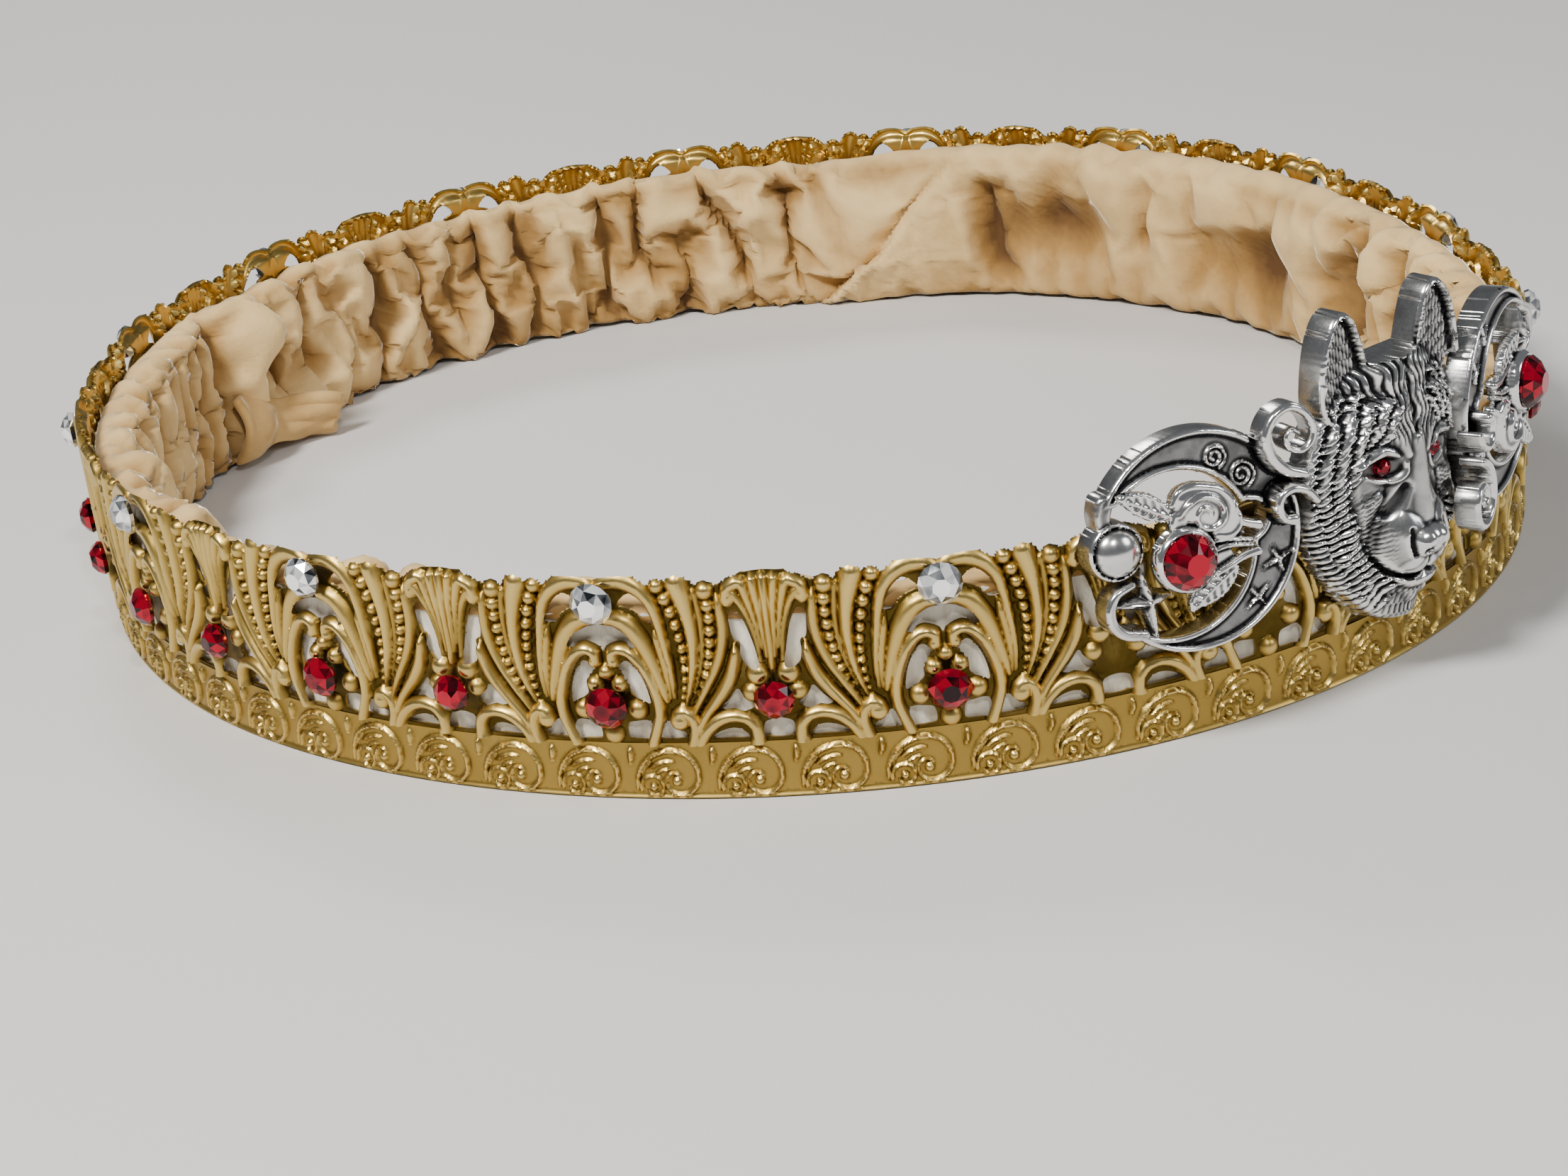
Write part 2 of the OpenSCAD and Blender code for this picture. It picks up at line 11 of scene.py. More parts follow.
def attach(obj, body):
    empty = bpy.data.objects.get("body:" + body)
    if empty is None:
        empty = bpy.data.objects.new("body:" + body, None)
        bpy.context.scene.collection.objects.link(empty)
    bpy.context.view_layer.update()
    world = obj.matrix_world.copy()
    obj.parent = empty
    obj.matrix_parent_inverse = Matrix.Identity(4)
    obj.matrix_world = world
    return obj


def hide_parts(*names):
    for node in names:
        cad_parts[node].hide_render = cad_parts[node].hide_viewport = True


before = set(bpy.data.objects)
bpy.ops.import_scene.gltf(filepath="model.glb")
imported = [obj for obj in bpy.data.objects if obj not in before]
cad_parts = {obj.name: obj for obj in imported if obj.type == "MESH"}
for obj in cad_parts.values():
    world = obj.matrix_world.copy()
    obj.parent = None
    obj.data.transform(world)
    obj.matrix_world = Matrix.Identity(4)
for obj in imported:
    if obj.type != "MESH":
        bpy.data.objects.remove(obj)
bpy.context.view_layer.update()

# The view: a long lens from the front left, a hand's breadth above the top edge, as a
# jeweller photographs a coronet on a table.
MM = 0.001


def link(name, data):
    """An object of its own in the scene."""
    made = bpy.data.objects.new(name, data)
    bpy.context.scene.collection.objects.link(made)
    return made


camera = link("camera", bpy.data.cameras.new("camera"))
right = Vector((0.72798, -0.67691, -0.10879))
up = Vector((0.33813, 0.21645, 0.91587))
forward = Vector((0.59642, 0.70352, -0.38645))
turn = Matrix((right, up, -forward)).transposed().to_4x4()
tripod = Vector((-230.994, -267.069, 134.567)) * MM
camera.matrix_world = Matrix.Translation(tripod) @ turn
camera.data.sensor_width = 36
camera.data.lens = 66.40
camera.data.clip_start = 0.01
camera.data.clip_end = 20
bpy.context.scene.camera = camera

# A plain pale table under it, larger than the view, and four soft lights: a broad one
# high at the left, a weak one from the right, one behind that rims the top edges and a
# small one in front that sparks on the metal. The table's paper is the first finish.


class Value:
    """A node's output, so that shader maths can be written as expressions."""

    def __init__(self, finish, socket):
        self.finish, self.socket = finish, socket

    def math(self, operation, *values):
        inputs = {"value%d" % i: v for i, v in enumerate(values)}
        return self.finish.node("Math", {"operation": operation}, **inputs)

    def __add__(self, other):
        return self.math("ADD", self, other)

    def __sub__(self, other):
        return self.math("SUBTRACT", self, other)

    def __rsub__(self, other):
        return self.math("SUBTRACT", other, self)

    def __mul__(self, other):
        return self.math("MULTIPLY", self, other)

    def __rmul__(self, other):
        return self.math("MULTIPLY", other, self)


class Finish:
    """One material and the nodes in it."""

    def __init__(self, name):
        self.material = bpy.data.materials.new(name)
        self.material.use_nodes = True
        self.tree = self.material.node_tree
        self.tree.nodes.clear()

    def node(self, kind, settings=None, out=0, **sockets):
        made = self.tree.nodes.new("ShaderNode" + kind)
        for key, value in (settings or {}).items():
            if key == "stops":
                stops = made.color_ramp.elements
                while len(stops) < len(value):
                    stops.new(1.0)
                for stop, (place, shade) in zip(stops, value):
                    stop.position, stop.color = place, (*shade, 1)
            else:
                setattr(made, key, value)
        for key, value in sockets.items():
            if key[-1].isdigit():
                socket = made.inputs[int(key.lstrip("abcdefghijklmnopqrstuvwxyz_"))]
            else:
                socket = made.inputs[key.replace("_", " ")]
            if isinstance(value, Value):
                self.tree.links.new(value.socket, socket)
            elif isinstance(value, tuple) and len(value) == 3 and socket.type == "RGBA":
                socket.default_value = (*value, 1)
            else:
                socket.default_value = value
        return Value(self, made.outputs[out]) if made.outputs else None

    def place(self):
        return self.node("TexCoord", out=3)

    def noise(self, scale, detail=3.0, rough=0.55, stretch=None):
        spot = self.place()
        if stretch:
            spot = self.node("Mapping", Vector=spot, Scale=stretch)
        return self.node("TexNoise", Vector=spot, Scale=scale, Detail=detail, Roughness=rough)

    def ramp(self, value, *stops):
        return self.node("ValToRGB", {"stops": stops}, Fac=value)

    def range(self, value, low, high, to_low=0.0, to_high=1.0):
        return self.node("MapRange", Value=value, From_Min=low, From_Max=high,
                         To_Min=to_low, To_Max=to_high)

    def mix(self, share, a, b):
        return self.node("Mix", {"data_type": "RGBA"}, out=2, Factor=share, socket6=a, socket7=b)

    def noted(self, name):
        """A number kept at each point or face of the mesh."""
        return self.node("Attribute", {"attribute_name": name}, out=2)

    def bump(self, height, strength, distance, under=None):
        more = {"Normal": under} if under else {}
        return self.node("Bump", Height=height, Strength=strength, Distance=distance, **more)

    def surface(self, **sockets):
        shader = self.node("BsdfPrincipled", **sockets)
        self.node("OutputMaterial", Surface=shader)
        return self.material


def finished_mesh(name, bm):
    """Turns what bmesh has shaped into a mesh."""
    mesh = bpy.data.meshes.new(name)
    bm.to_mesh(mesh)
    bm.free()
    return mesh


bench = bmesh.new()
bmesh.ops.create_grid(bench, x_segments=2, y_segments=2, size=3.0)
floor = link("floor", finished_mesh("floor", bench))
paper = Finish("pale_table")
floor.data.materials.append(paper.surface(Base_Color=(0.62, 0.61, 0.60), Roughness=0.75))


def lamp(name, at, aim, size, watts, tint):
    light = bpy.data.lights.new(name, "AREA")
    light.shape, light.size, light.energy, light.color = "DISK", size, watts, tint
    holder = link(name, light)
    holder.location = at
    holder.rotation_euler = (Vector(aim) - Vector(at)).to_track_quat("-Z", "Y").to_euler()


lamp("window", (-0.55, -0.10, 0.70), (0, 0, 0.01), 0.22, 10.5, (1.0, 0.98, 0.94))
lamp("fill", (0.35, -0.75, 0.45), (0, 0, 0.01), 0.35, 1.9, (0.96, 0.98, 1.0))
lamp("rim", (0.25, 0.60, 0.55), (0, 0, 0.02), 0.25, 3.0, (1.0, 0.97, 0.92))
lamp("spark", (-0.30, -0.55, 0.60), (0, 0, 0.01), 0.05, 2.2, (1.0, 0.98, 0.95))
room = bpy.data.worlds.new("room")
room.use_nodes = True
room.node_tree.nodes["Background"].inputs["Color"].default_value = (0.80, 0.84, 0.90, 1)
room.node_tree.nodes["Background"].inputs["Strength"].default_value = 0.18
bpy.context.scene.world = room

# The plan of the strip, seen from above: a hand-bent ring, a little longer than wide,
# with soft flats. Distances along it run counter-clockwise from the front.
MEAN_RADIUS = 88.9
# Columns: waves round the ring, how high in mm, where the first one crests in degrees
PLAN_WAVES = ((2, 3.76, 6.4), (3, 0.74, -7.5), (4, 1.06, 7.2), (5, 0.31, 25.8))
ANGLES = np.linspace(0, 360, 3601)


def plan_radius(angle):
    return MEAN_RADIUS + sum(s * np.cos(np.radians(n * (angle - c))) for n, s, c in PLAN_WAVES)


plan_x = plan_radius(ANGLES) * np.sin(np.radians(ANGLES))
plan_y = -plan_radius(ANGLES) * np.cos(np.radians(ANGLES))
RUN = np.concatenate([[0], np.cumsum(np.hypot(np.diff(plan_x), np.diff(plan_y)))])
GIRTH = RUN[-1]
REPEATS = 16
REPEAT = GIRTH / REPEATS


def on_wall(s, z, out):
    """Points in metres: s along the strip, z up and out from its face, all in mm."""
    s = np.asarray(s, float)
    x, y = np.interp(s % GIRTH, RUN, plan_x), np.interp(s % GIRTH, RUN, plan_y)
    ahead, behind = (s + 0.5) % GIRTH, (s - 0.5) % GIRTH
    dx = np.interp(ahead, RUN, plan_x) - np.interp(behind, RUN, plan_x)
    dy = np.interp(ahead, RUN, plan_y) - np.interp(behind, RUN, plan_y)
    size = np.hypot(dx, dy)
    return np.stack([x + out * dy / size, y - out * dx / size, z + 0 * s], -1) * MM


# Gilt strip: thin brass sheet stamped with ribs, bead columns, shells and flowers, the
# ground between them punched out, then gilded, toned dark and rubbed bright on top.
# Half a repeat of the upper part is drawn flat, from the arch's middle (u = 0) to the
# shell's middle (u = 17.5), and mirrored. Each rib: height, then u, v, half width.
HALF = 17.5
DRAWN = 2 * HALF        # a whole repeat of the drawing, stretched to fit the girth
RIBS = {
    "arch_outer": (1.15, [
        (0.49, 24.25, 0.85), (1.47, 24.67, 1.07), (3.0, 24.67, 1.16), (4.59, 23.88, 1.04),
        (5.69, 22.42, 0.82), (6.27, 20.43, 0.67), (6.64, 18.15, 0.55), (6.92, 16.01, 0.49),
        (7.07, 13.88, 0.41), (7.01, 11.59, 0.27)]),
    "arch_inner": (1.08, [
        (1.04, 20.53, 0.92), (1.84, 20.47, 1.04), (3.0, 19.79, 1.16), (4.04, 18.39, 1.13),
        (4.77, 16.62, 1.01), (5.39, 14.79, 0.79), (5.88, 13.02, 0.61), (6.24, 11.29, 0.37)]),
    "arch_leaf": (0.98, [
        (5.66, 19.79, 0.12), (5.94, 18.27, 0.52), (6.3, 16.32, 0.58), (6.55, 14.18, 0.49),
        (6.67, 11.59, 0.27)]),
    "horseshoe": (1.20, [
        (0.86, 16.01, 0.67), (1.04, 16.81, 0.76), (1.9, 17.17, 0.79), (3.06, 16.62, 0.79),
        (4.1, 15.16, 0.76), (4.77, 13.51, 0.73), (5.23, 11.74, 0.72), (5.29, 9.91, 0.7),
        (4.8, 8.23, 0.7), (4.16, 6.5, 0.73)]),
    "hook": (1.15, [
        (7.13, 9.06, 0.76), (7.13, 9.73, 0.79), (7.89, 10.1, 0.76), (8.69, 9.3, 0.7), (8.81, 7.84, 0.67),
        (8.38, 6.31, 0.73)]),
    "leaf_hump": (1.20, [
        (8.63, 24.31, 1.34), (9.0, 23.03, 1.22), (9.3, 21.5, 0.98), (9.55, 19.82, 0.82),
        (9.64, 17.84, 0.73), (9.49, 15.86, 0.64), (9.12, 14.03, 0.52), (8.63, 12.2, 0.38),
        (8.08, 10.67, 0.24)]),
    "leaf_edge": (0.90, [
        (10.34, 23.33, 0.4), (10.59, 21.81, 0.43), (10.68, 19.67, 0.4), (10.59, 17.54, 0.37),
        (10.28, 15.71, 0.34), (9.79, 13.88, 0.27), (9.12, 12.05, 0.18)]),
    "side_blade": (1.00, [
        (12.67, 22.72, 0.37), (12.85, 20.89, 0.64), (12.85, 18.91, 0.67), (12.42, 16.77, 0.67),
        (11.63, 14.79, 0.64), (10.71, 13.12, 0.55), (9.79, 11.5, 0.46), (9.0, 10.03, 0.37)]),
    "side_leaf": (1.12, [
        (13.86, 17.42, 0.15), (13.83, 16.26, 0.61), (13.34, 14.33, 0.82), (12.3, 12.5, 0.79),
        (11.14, 10.98, 0.7), (10.1, 9.61, 0.61), (9.27, 8.23, 0.55)]),
    "tendril": (1.15, [
        (9.12, 6.25, 0.61), (9.91, 7.72, 0.79), (11.14, 8.94, 0.85), (12.73, 9.49, 0.85),
        (14.2, 9.24, 0.82), (15.06, 8.33, 0.79), (15.3, 7.17, 0.76), (15.18, 6.13, 0.76)]),
    "shell_curl": (1.20, [(13.71, 22.17, 0.67), (13.59, 22.91, 0.67), (13.89, 23.7, 0.76),
                          (14.75, 24.25, 0.85)]),
    "shell_fold_a": (1.12, [
        (15.3, 24.19, 0.67), (15.61, 23.03, 0.64), (16.03, 21.2, 0.46), (16.4, 19.06, 0.34),
        (16.68, 16.93, 0.27)]),
    "shell_fold_b": (1.16, [
        (16.4, 24.49, 0.67), (16.55, 23.18, 0.64), (16.77, 21.2, 0.49), (16.95, 18.76, 0.4),
        (17.07, 16.01, 0.34)]),
    "shell_fold_c": (1.18, [
        (17.5, 24.61, 0.67), (17.5, 23.03, 0.64), (17.5, 20.89, 0.52), (17.5, 18.45, 0.46),
        (17.5, 14.79, 0.43)]),
    "shell_side": (0.95, [
        (14.38, 23.03, 0.61), (15.06, 21.81, 0.52), (15.61, 20.28, 0.4), (16.1, 18.15, 0.34),
        (16.4, 15.4, 0.34)]),
}
# Bead columns: u, v, radius
BEADS = (
    (6.61, 24.09, 0.88), (7.28, 22.66, 0.79), (7.71, 21.2, 0.73), (8.05, 19.73, 0.67),
    (8.26, 18.36, 0.61), (8.41, 17.08, 0.58), (8.45, 15.89, 0.52), (8.38, 14.76, 0.49),
    (8.29, 13.63, 0.43), (8.14, 12.6, 0.4), (7.93, 11.65, 0.34), (7.68, 10.83, 0.27),
    (11.47, 23.39, 1.04), (11.6, 21.81, 0.79), (11.63, 20.4, 0.7), (11.54, 19.0, 0.67),
    (11.38, 17.66, 0.64), (11.17, 16.41, 0.61), (10.86, 15.22, 0.55), (10.53, 14.12, 0.52),
    (10.13, 13.05, 0.46), (9.7, 12.05, 0.4), (9.3, 11.16, 0.34), (8.94, 10.43, 0.27))
# Bosses of the flowers and the ball ends of the curls: u, v, radius, height
BOSSES = (
    (0.0, 14.55, 0.88, 1.1), (1.35, 13.21, 0.98, 1.15), (2.94, 10.28, 1.16, 1.1), (1.01, 15.77, 0.79, 1.25),
    (0.0, 7.47, 1.16, 1.05), (7.28, 9.06, 1.16, 1.3), (15.94, 14.03, 1.28, 1.25), (15.12, 11.99, 1.1, 1.05),
    (15.18, 6.37, 0.92, 1.2), (13.75, 22.5, 0.95, 1.2))
# Punched ground, outlines of u, v
GAPS = {
    "crown": [
        (-3.7, 17.6), (-2.8, 18.9), (-1.5, 19.5), (0, 19.7), (1.5, 19.5), (2.8, 18.9), (3.7, 17.6),
        (3.2, 17.3), (2.6, 17.8), (1.8, 18.0), (0.9, 17.7), (0.3, 17.3), (0, 16.7), (-0.3, 17.3),
        (-0.9, 17.7), (-1.8, 18.0), (-2.6, 17.8), (-3.2, 17.3)],
    "eye": [
        (2.1, 21.9), (2.8, 22.8), (3.7, 23.2), (4.7, 22.5), (5.5, 21.2), (5.8, 20.1), (5.0, 19.8),
        (4.1, 20.8), (3.2, 21.4)],
    "inner_top": [
        (1.2, 14.9), (2.3, 15.7), (3.2, 14.8), (3.8, 13.6), (4.2, 12.1), (4.3, 10.8), (3.7, 11.2),
        (2.8, 11.6), (2.3, 12.1), (2.3, 13.2), (1.8, 14.1)],
    "inner_low": [
        (1.6, 8.6), (2.6, 8.9), (3.7, 9.0), (4.2, 8.5), (3.9, 7.5), (3.5, 6.8), (1.8, 6.8), (1.4, 7.2)],
    "foot": [(5.6, 8.6), (6.3, 8.9), (7.0, 8.0), (7.7, 7.5), (7.6, 6.9), (7.0, 6.8), (5.2, 6.8),
             (5.1, 7.2)],
    "tear": [
        (13.6, 20.7), (14.4, 21.0), (15.1, 19.8), (15.6, 18.1), (16.0, 16.3), (16.2, 15.0),
        (15.4, 14.8), (14.7, 15.0), (14.4, 16.3), (14.4, 17.4), (13.8, 17.8), (13.6, 19.4)],
    "tri": [
        (13.6, 12.4), (14.1, 11.7), (14.8, 11.1), (15.3, 10.3), (14.4, 10.0), (13.1, 10.3),
        (12.1, 10.2), (11.7, 10.4), (12.6, 11.2)],
    "dee": [(10.2, 6.8), (10.7, 7.3), (11.7, 7.8), (12.8, 8.0), (13.8, 7.7), (14.3, 7.0), (14.2, 6.8),
            (12.2, 6.7)],
    "mid": [
        (16.0, 8.4), (16.7, 8.8), (17.5, 8.9), (18.3, 8.8), (19.0, 8.4), (19.1, 7.2), (18.8, 6.8),
        (17.5, 6.7), (16.2, 6.8), (15.9, 7.2)]}
# Top edge of the stamping: u, v
TOP_EDGE = np.array([
    (0.0, 24.8), (0.7, 25.15), (1.84, 25.35), (3.0, 25.4), (4.28, 25.2), (5.32, 24.43), (5.75, 24.06),
    (6.0, 24.6), (6.61, 25.0), (7.22, 24.7), (7.47, 24.37), (7.83, 24.95), (8.63, 25.35), (9.61, 25.0),
    (10.28, 24.06), (10.53, 23.82), (10.77, 24.25), (11.47, 24.49), (12.24, 24.19), (12.55, 23.7),
    (13.04, 24.06), (13.83, 24.67), (15.12, 25.1), (16.46, 25.31), (17.5, 25.38)])
# One scroll of the border, 8.75 long. Ridges: u, v, half width
MOTIF = HALF / 2
BORDER_TOP = 6.4
SHEET_TOP = 25.55       # the upper part is drawn a little past its top edge
SCROLLS = (
    [(1.71, 1.13, 0.21), (1.9, 2.59, 0.24), (2.63, 4.06, 0.27), (3.86, 5.09, 0.3), (5.54, 5.58, 0.3),
     (7.07, 5.28, 0.3), (8.08, 4.3, 0.3), (8.45, 2.9, 0.3), (8.14, 1.56, 0.3), (7.16, 0.7, 0.27),
     (6.0, 0.58, 0.24), (5.14, 1.19, 0.21), (4.9, 2.1, 0.21), (5.32, 2.84, 0.21), (6.06, 2.96, 0.18),
     (6.55, 2.53, 0.15)],
    [(2.14, 1.01, 0.18), (2.33, 2.04, 0.21), (3.0, 2.59, 0.21), (3.92, 2.59, 0.21), (4.47, 1.98, 0.21),
     (4.53, 1.19, 0.21), (4.04, 0.58, 0.18), (3.24, 0.52, 0.15), (2.82, 1.01, 0.12)],
    [(3.3, 3.45, 0.12), (4.16, 4.06, 0.24), (5.23, 4.36, 0.21), (6.0, 4.3, 0.09)],
    [(3.79, 2.84, 0.09), (4.62, 3.32, 0.21), (5.45, 3.51, 0.09)],
    [(2.33, 2.9, 0.09), (2.88, 3.75, 0.18), (3.55, 4.42, 0.09)],
    [(1.41, 5.64, 0.27), (1.44, 4.88, 0.34), (1.19, 4.06, 0.18)])
SCROLL_DOTS = ((6.06, 2.04, 0.5, 0.55), (3.49, 1.43, 0.4, 0.55))
SCROLL_H = 0.85
GROUND = 0.15           # height of the ground in the drawing
BORDER_GROUND = 0.25    # and of the border's
FACE = 0.35             # the drawing's zero lies this far inside the strip's outer face
SHEET = 0.42            # thickness of the stamped sheet
SEAM = 0.02             # points this close are one where two repeats meet
NARROW = 0.5            # ribs of less half width than this are stamped lower
HIGHEST = 1.2           # the ribs' tops, where the gilt is rubbed brightest
PLAIN_BACK = 0.72       # the back of the sheet is plain gilt, rubbed this much


def flowing(points, steps=6, closed=False):
    """A smooth curve through the listed points."""
    rows = np.array(points, float)
    if closed:
        rows = np.vstack([rows[-1], rows, rows[0], rows[1]])
    else:
        rows = np.vstack([2 * rows[0] - rows[1], rows, 2 * rows[-1] - rows[-2]])
    share = np.linspace(0, 1, steps, endpoint=False)[:, None]
    line = [0.5 * (2 * b + (c - a) * share + (2 * a - 5 * b + 4 * c - d) * share ** 2
                   + (3 * b - a - 3 * c + d) * share ** 3)
            for a, b, c, d in zip(rows, rows[1:], rows[2:], rows[3:])]
    return np.vstack(line if closed else line + [rows[-2:-1]])


def part(value):
    """The value, kept from 0 to 1."""
    return np.clip(value, 0, 1)


def beside(x, y, curve, reach):
    """Which points lie in the box round a curve."""
    return ((x > curve[:, 0].min() - reach) & (x < curve[:, 0].max() + reach)
            & (y > curve[:, 1].min() - reach) & (y < curve[:, 1].max() + reach))


def ridge(u, v, height, points, roundness=0.62):
    """Height of a rounded rib that follows a curve of u, v, half width."""
    curve, best = flowing(points), np.zeros_like(u)
    near = beside(u, v, curve, curve[:, 2].max())
    x, y, top = u[near], v[near], np.zeros(near.sum())
    for a, b in zip(curve, curve[1:]):
        step = b[:2] - a[:2]
        t = part(((x - a[0]) * step[0] + (y - a[1]) * step[1]) / (step @ step))
        width = a[2] + t * (b[2] - a[2])
        off = np.hypot(x - a[0] - t * step[0], y - a[1] - t * step[1]) / width
        top = np.maximum(top, part(1 - off ** 2) ** roundness * np.clip(width / NARROW, 0.45, 1))
    best[near] = top * height
    return best


def bead(u, v, x, y, radius, height):
    return height * np.sqrt(part(1 - ((u - x) ** 2 + (v - y) ** 2) / radius ** 2))


def depth_inside(u, v, outline):
    """Distance inside a closed outline, negative outside it."""
    line = flowing(outline, 5, closed=True)
    away, within = np.full(u.shape, 9.0), np.zeros(u.shape, bool)
    for a, b in zip(line, np.roll(line, -1, 0)):
        step = b - a
        t = part(((u - a[0]) * step[0] + (v - a[1]) * step[1]) / (step @ step + 1e-12))
        away = np.minimum(away, np.hypot(u - a[0] - t * step[0], v - a[1] - t * step[1]))
        within ^= ((a[1] > v) != (b[1] > v)) & (u < step[0] * (v - a[1]) / (step[1] + 1e-12) + a[0])
    return np.where(within, away, -away)


def arch_relief(u, v):
    h = np.full(u.shape, GROUND)
    for height, points in RIBS.values():
        for flip in (u, DRAWN - u, -u):
            h = np.maximum(h, ridge(flip, v, height, points))
    for x, y, radius in BEADS:
        h = np.maximum(h, bead(u, v, x, y, radius, min(1.15, 0.35 + radius)))
    for x, y, radius, height in BOSSES:
        for flip in (u, DRAWN - u, -u):
            h = np.maximum(h, bead(flip, v, x, y, radius, height))
    return h


def arch_gap(u, v):
    """Positive where the sheet is punched out."""
    away = v - np.interp(u, TOP_EDGE[:, 0], TOP_EDGE[:, 1])
    for outline in GAPS.values():
        away = np.maximum(away, depth_inside(u, v, outline))
    return away


def border_relief(u, v):
    h = np.full(u.shape, BORDER_GROUND)
    for shift in (-MOTIF, 0, MOTIF):
        for points in SCROLLS:
            h = np.maximum(h, BORDER_GROUND + ridge(u - shift, v, SCROLL_H, points, 0.8))
        for x, y, radius, height in SCROLL_DOTS:
            h = np.maximum(h, BORDER_GROUND + bead(u - shift, v, x, y, radius, height))
    return np.maximum(h, 0.55 * part(1 - ((v - 0.25) / 0.3) ** 2))


def steps_round(reach):
    """Eight steps of that length round a point."""
    return [(reach * math.cos(k * math.pi / 4), reach * math.sin(k * math.pi / 4)) for k in range(8)]


def border_rub(u, v):
    """How brightly the border is rubbed: its lines shine and the toning stays beside them."""
    height, around = border_relief(u, v), 0
    for du, dv in steps_round(0.3):
        around = around + border_relief(u + du, v + dv) / 8
    return part(0.52 + 0.45 * (height - BORDER_GROUND) + 1.2 * (height - around))


def points_of(mesh):
    spots = np.empty(len(mesh.vertices) * 3)
    mesh.vertices.foreach_get("co", spots)
    return spots.reshape(-1, 3)


def set_points(mesh, spots):
    mesh.vertices.foreach_set("co", np.ascontiguousarray(spots, np.float32).ravel())
    mesh.update()


def note(mesh, name, values):
    """Keeps a number at each point, for the finish to read."""
    values = np.asarray(values, np.float32)
    mesh.attributes.new(name, "FLOAT", "POINT").data.foreach_set("value", values)


@contextmanager
def opened(mesh):
    """Opens a mesh for bmesh's operators and closes it again."""
    bm = bmesh.new()
    bm.from_mesh(mesh)
    bm.faces.ensure_lookup_table()
    yield bm
    bm.to_mesh(mesh)
    bm.free()


def angle_round(spots):
    """Degrees round the ring from the front."""
    return np.degrees(np.arctan2(spots[:, 0], -spots[:, 1])) % 360


def run_round(spots):
    """Places along the strip, in mm."""
    return np.interp(angle_round(spots), ANGLES, RUN)


def stand_off(spots):
    """How far points given in mm stand outside the plan."""
    return np.hypot(spots[:, 0], spots[:, 1]) - plan_radius(angle_round(spots))


def flat_grid(name, left, right, low, high, cell):
    """A flat grid of a drawing's area, in mm."""
    wide, tall = right - left, high - low
    middle = Matrix.Translation(((left + right) / 2, (low + high) / 2, 0))
    bm = bmesh.new()
    bmesh.ops.create_grid(bm, x_segments=round(wide / cell), y_segments=round(tall / cell), size=0.5)
    bmesh.ops.transform(bm, verts=bm.verts, matrix=middle @ Matrix.Diagonal((wide, tall, 1, 1)))
    return finished_mesh(name, bm)


def punch(mesh, gap, cell):
    """Moves the points beside a gap onto its edge and takes out the faces inside it."""
    spots = points_of(mesh)
    u, v = spots[:, 0].copy(), spots[:, 1].copy()
    away, tiny = gap(u, v), 0.02
    near = np.abs(away) < 0.62 * cell
    slope = np.stack([gap(u + tiny, v) - away, gap(u, v + tiny) - away], 1) / tiny
    slope /= np.linalg.norm(slope, axis=1, keepdims=True) + 1e-9
    edge = near & (u > u.min() + 0.01) & (u < u.max() - 0.01)
    spots[edge, :2] -= (away[:, None] * slope)[edge]
    side = near & ~edge               # the drawing's own sides stay straight
    spots[side, 1] -= (away / np.where(np.abs(slope[:, 1]) > 0.4, slope[:, 1], 1e9))[side]
    set_points(mesh, spots)
    centres = np.empty(len(mesh.polygons) * 3)
    mesh.polygons.foreach_get("center", centres)
    centres = centres.reshape(-1, 3)
    out = gap(centres[:, 0], centres[:, 1]) > 0
    with opened(mesh) as bm:
        bmesh.ops.delete(bm, geom=[bm.faces[i] for i in np.flatnonzero(out)], context="FACES")


def emboss(mesh, relief):
    """Raises a flat drawing to its relief."""
    spots = points_of(mesh)
    spots[:, 2] = relief(spots[:, 0], spots[:, 1])
    set_points(mesh, spots)


def apply_modifiers(piece):
    """Makes what the modifiers show the piece's own mesh."""
    seen = piece.evaluated_get(bpy.context.evaluated_depsgraph_get())
    shown = bpy.data.meshes.new_from_object(seen)
    piece.modifiers.clear()
    piece.data = shown
    return piece


def repeated(drawing, pitch, count, kept=None):
    """A flat row of a drawing, as long as the strip needs. A half drawing is first thinned
    to the share kept, and joined to its mirror image."""
    pattern = link("pattern", drawing)
    if kept:
        pattern.modifiers.new("few", "DECIMATE").ratio = kept
        pattern.modifiers.new("twin", "MIRROR").merge_threshold = SEAM
    row = pattern.modifiers.new("row", "ARRAY")
    row.use_relative_offset, row.use_constant_offset = False, True
    row.constant_offset_displace = (pitch, 0, 0)
    row.use_merge_vertices, row.merge_threshold = True, SEAM
    row.count = count
    flat = apply_modifiers(pattern).data
    bpy.data.objects.remove(pattern)
    spots = points_of(flat)
    spots[:, 0] *= REPEAT / DRAWN
    set_points(flat, spots)
    return flat


def bend(mesh, start):
    """Lays a flat row round the plan. Height above the ground becomes outwards."""
    spots = points_of(mesh)
    set_points(mesh, on_wall(spots[:, 0] + start, spots[:, 1], spots[:, 2] - FACE))


def weld(mesh, gap):
    with opened(mesh) as bm:
        bmesh.ops.remove_doubles(bm, verts=bm.verts, dist=gap)
        bmesh.ops.recalc_face_normals(bm, faces=bm.faces)


def outwards(piece):
    """Turns an open sheet's faces to the outside of the ring."""
    with opened(piece.data) as bm:
        face = max(bm.faces, key=lambda f: f.calc_area())
        middle = face.calc_center_median()
        if face.normal.x * middle.x + face.normal.y * middle.y < 0:
            bmesh.ops.reverse_faces(bm, faces=bm.faces)


def put(name, mesh, finish, node=None):
    """Links a mesh as a piece that rides on the coronet's one body, in its node's place."""
    mesh.materials.clear()
    mesh.materials.append(finish)
    piece = link(name, mesh)
    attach(piece, "root")
    if node:
        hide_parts(node)
    return piece


